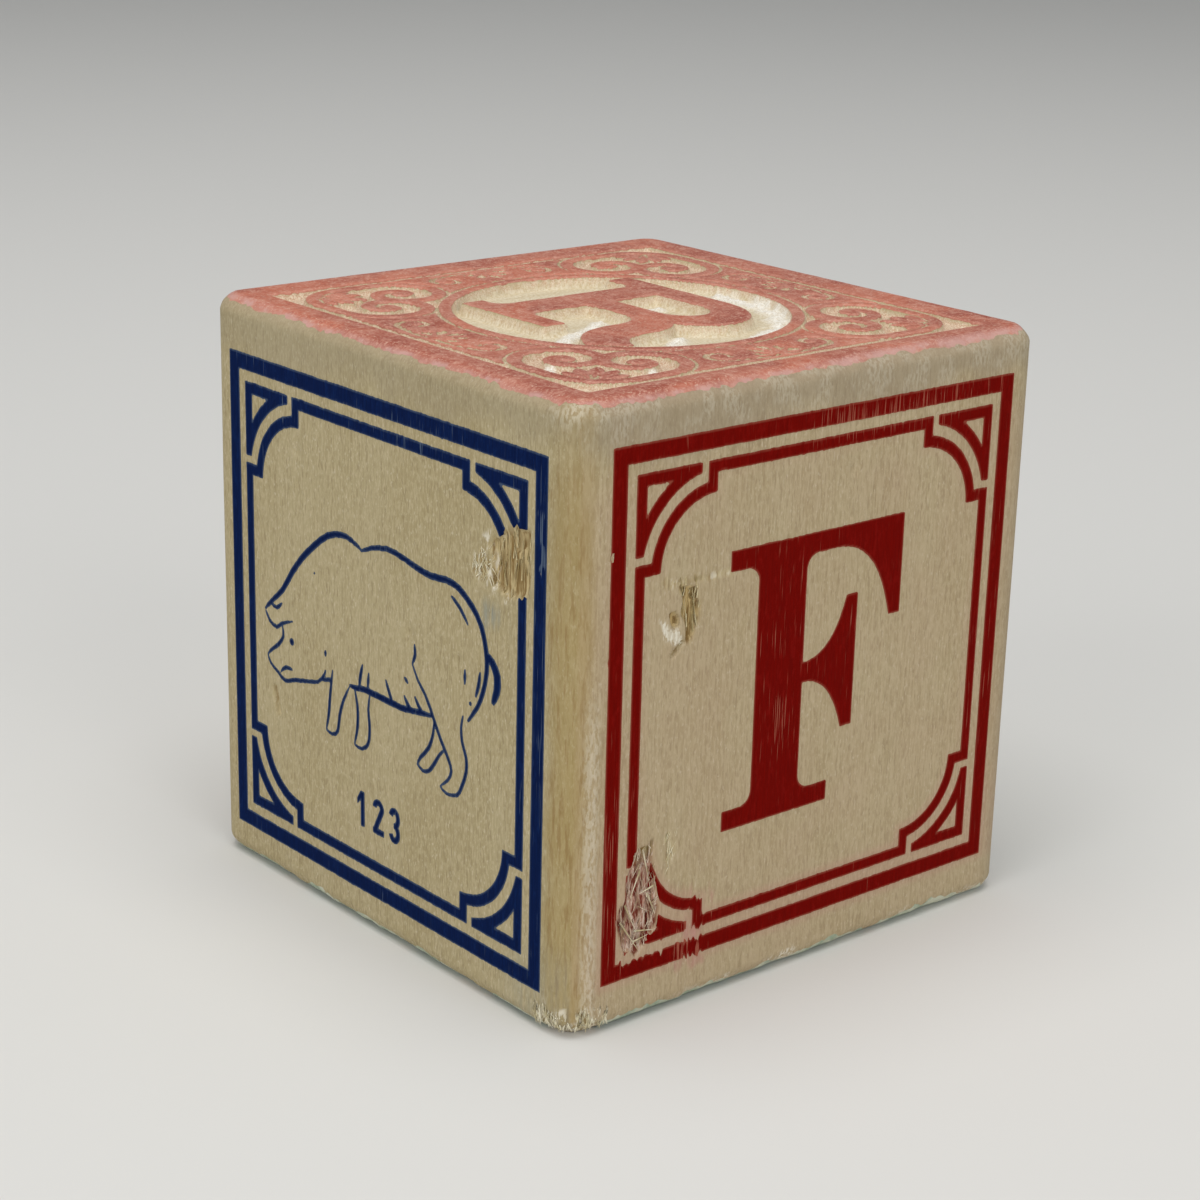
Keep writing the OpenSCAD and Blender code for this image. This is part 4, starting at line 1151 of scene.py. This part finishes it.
WOOD = basswood()
STRANDS = torn_strands()
INKS = {
    "front": printing_ink("red_printing_ink", "#680501", "#720702", "#80100B", "#A5604C"),
    "left": printing_ink("navy_printing_ink", "#06163C", "#0A1D48", "#0F2858", "#5F6F82"),
    "right": printing_ink("green_printing_ink", "#0F4A26", "#14532B", "#1F6038", "#6F8A68"),
    "back": printing_ink("gold_printing_ink", "#B07A12", "#BC8619", "#C8953A", "#C4A260"),
}
INK_SLOTS = {"front": "red_ink", "left": "blue_ink", "right": "green_ink", "back": "gold_ink"}
PAINTS = {
    "top": washed_paint(
        "coral_washed_paint", "#964531", "#AE634D", "#BF694C", "#CB9581", "#C49A90", "#DCC6AE", ends=0.72
    ),
    "bottom": washed_paint(
        "green_washed_paint", "#587A5E", "#6D8C70", "#6A8862", "#A9B8A0", "#D3D2BC", "#D8D2BC", ends=0.78
    ),
}
PAINT_SLOTS = {"top": "red_paint", "bottom": "green_paint"}


# Making the pieces


def place(piece, slot, *nodes):
    """Gives a piece its body and hides the nodes that it replaces. Its slot is not used."""
    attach(piece, "root")
    if nodes:
        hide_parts(*nodes)


place(wooden_cube(WOOD), "basswood", "wood_block")
place(frayed_fibres(STRANDS), "basswood")
for side, parts in PRINTS.items():
    for part in parts:
        place(print_piece(side, part, INKS[side]), INK_SLOTS[side], f"{side}_{part}")
for end in (TOP_END, BOTTOM_END):
    for part in LANDS:
        place(land_piece(end, part, PAINTS[end.end]), PAINT_SLOTS[end.end], f"{end.end}_{part}")


# Camera, from the photograph's perspective. Its distances are in block widths, from the place at half
# the block's height.

BLOCK_W = 2 * HALF * MM
BLOCK_MIDDLE = Vector((0, 0, (TOP - BASE) / 2 * MM))
AZIMUTH, ELEVATION, ROLL = radians(-40.2411), radians(18.126), radians(1.4029)
DISTANCE, ASIDE, ABOVE = 4.5177, -0.0227, -0.0109
LENS, SENSOR = 77.734, 36
SHIFT_Y = 0.00127


def make_camera():
    """The camera as it stood for the photograph."""
    back = Vector((sin(AZIMUTH) * cos(ELEVATION), -cos(AZIMUTH) * cos(ELEVATION), sin(ELEVATION)))
    right = Vector((0, 0, 1)).cross(back).normalized()
    up = back.cross(right)
    right, up = cos(ROLL) * right + sin(ROLL) * up, -sin(ROLL) * right + cos(ROLL) * up
    data = bpy.data.cameras.new("camera")
    data.lens, data.sensor_width, data.shift_y = LENS, SENSOR, SHIFT_Y
    data.clip_start, data.clip_end = 0.005, 20
    camera = bpy.data.objects.new("camera", data)
    turn = Matrix((right, up, back)).transposed().to_4x4()
    spot = BLOCK_MIDDLE + BLOCK_W * (DISTANCE * back + ASIDE * right + ABOVE * up)
    camera.matrix_world = Matrix.Translation(spot) @ turn
    bpy.context.scene.collection.objects.link(camera)
    bpy.context.scene.camera = camera


# Studio, with its floor in millimetres: how far it reaches to the front and behind, the radius of its
# bend and the height of its wall

FLOOR_FRONT, FLOOR_BEHIND = 1600.0, 900.0
BEND_R, WALL = 500.0, 1500.0
# Lamps, with their places and sizes in metres and their watts
LAMPS = (
    ("overhead", (-0.10, -0.05, 0.75), 0.7, 3.6),
    ("front_fill", (-0.05, -0.75, 0.35), 0.6, 1.8),
    ("left_fill", (-0.75, -0.10, 0.35), 0.6, 1.8),
)
LAMP_AIM = Vector((0, 0, 0.022))
SKY_STRENGTH = 0.38


def make_floor():
    """A pale paper floor that sweeps up into a backdrop behind the block, seen from the camera."""
    mesh = Mesh()
    angles = np.linspace(0, pi / 2, 24)
    bend = FLOOR_BEHIND + BEND_R * np.sin(angles)
    along = np.concatenate([[-FLOOR_FRONT, 0], bend, [FLOOR_BEHIND + BEND_R]])
    height = np.concatenate([[0, 0], BEND_R * (1 - np.cos(angles)), [BEND_R + WALL]])
    away = np.array([-sin(AZIMUTH), cos(AZIMUTH)])
    across = np.array([cos(AZIMUTH), sin(AZIMUTH)])
    places = []
    for s in (-2 * FLOOR_FRONT, 2 * FLOOR_FRONT):
        places += [[*(away * a + across * s), h] for a, h in zip(along, height)]
    mesh.add(places, grid_faces(2, len(along), flip=True))
    material, _, shader = new_material("studio_paper", 0.1)
    shader.inputs["Base Color"].default_value = linear("#D9D7D2")
    shader.inputs["Roughness"].default_value = 0.9
    mesh.build("studio_floor", material)


def make_lights():
    """An even sky and soft round lamps that look at the block."""
    world = bpy.data.worlds.new("studio_sky")
    world.use_nodes = True
    sky = world.node_tree.nodes["Background"]
    sky.inputs["Color"].default_value = linear("#EEF3FA")
    sky.inputs["Strength"].default_value = SKY_STRENGTH
    bpy.context.scene.world = world
    for name, spot, size, watts in LAMPS:
        data = bpy.data.lights.new(name, "AREA")
        data.shape, data.size, data.energy = "DISK", size, watts
        lamp = bpy.data.objects.new(name, data)
        lamp.location = spot
        lamp.rotation_euler = (LAMP_AIM - Vector(spot)).to_track_quat("-Z", "Y").to_euler()
        bpy.context.scene.collection.objects.link(lamp)


make_camera()
make_floor()
make_lights()
bpy.context.scene.view_settings.view_transform = "Standard"
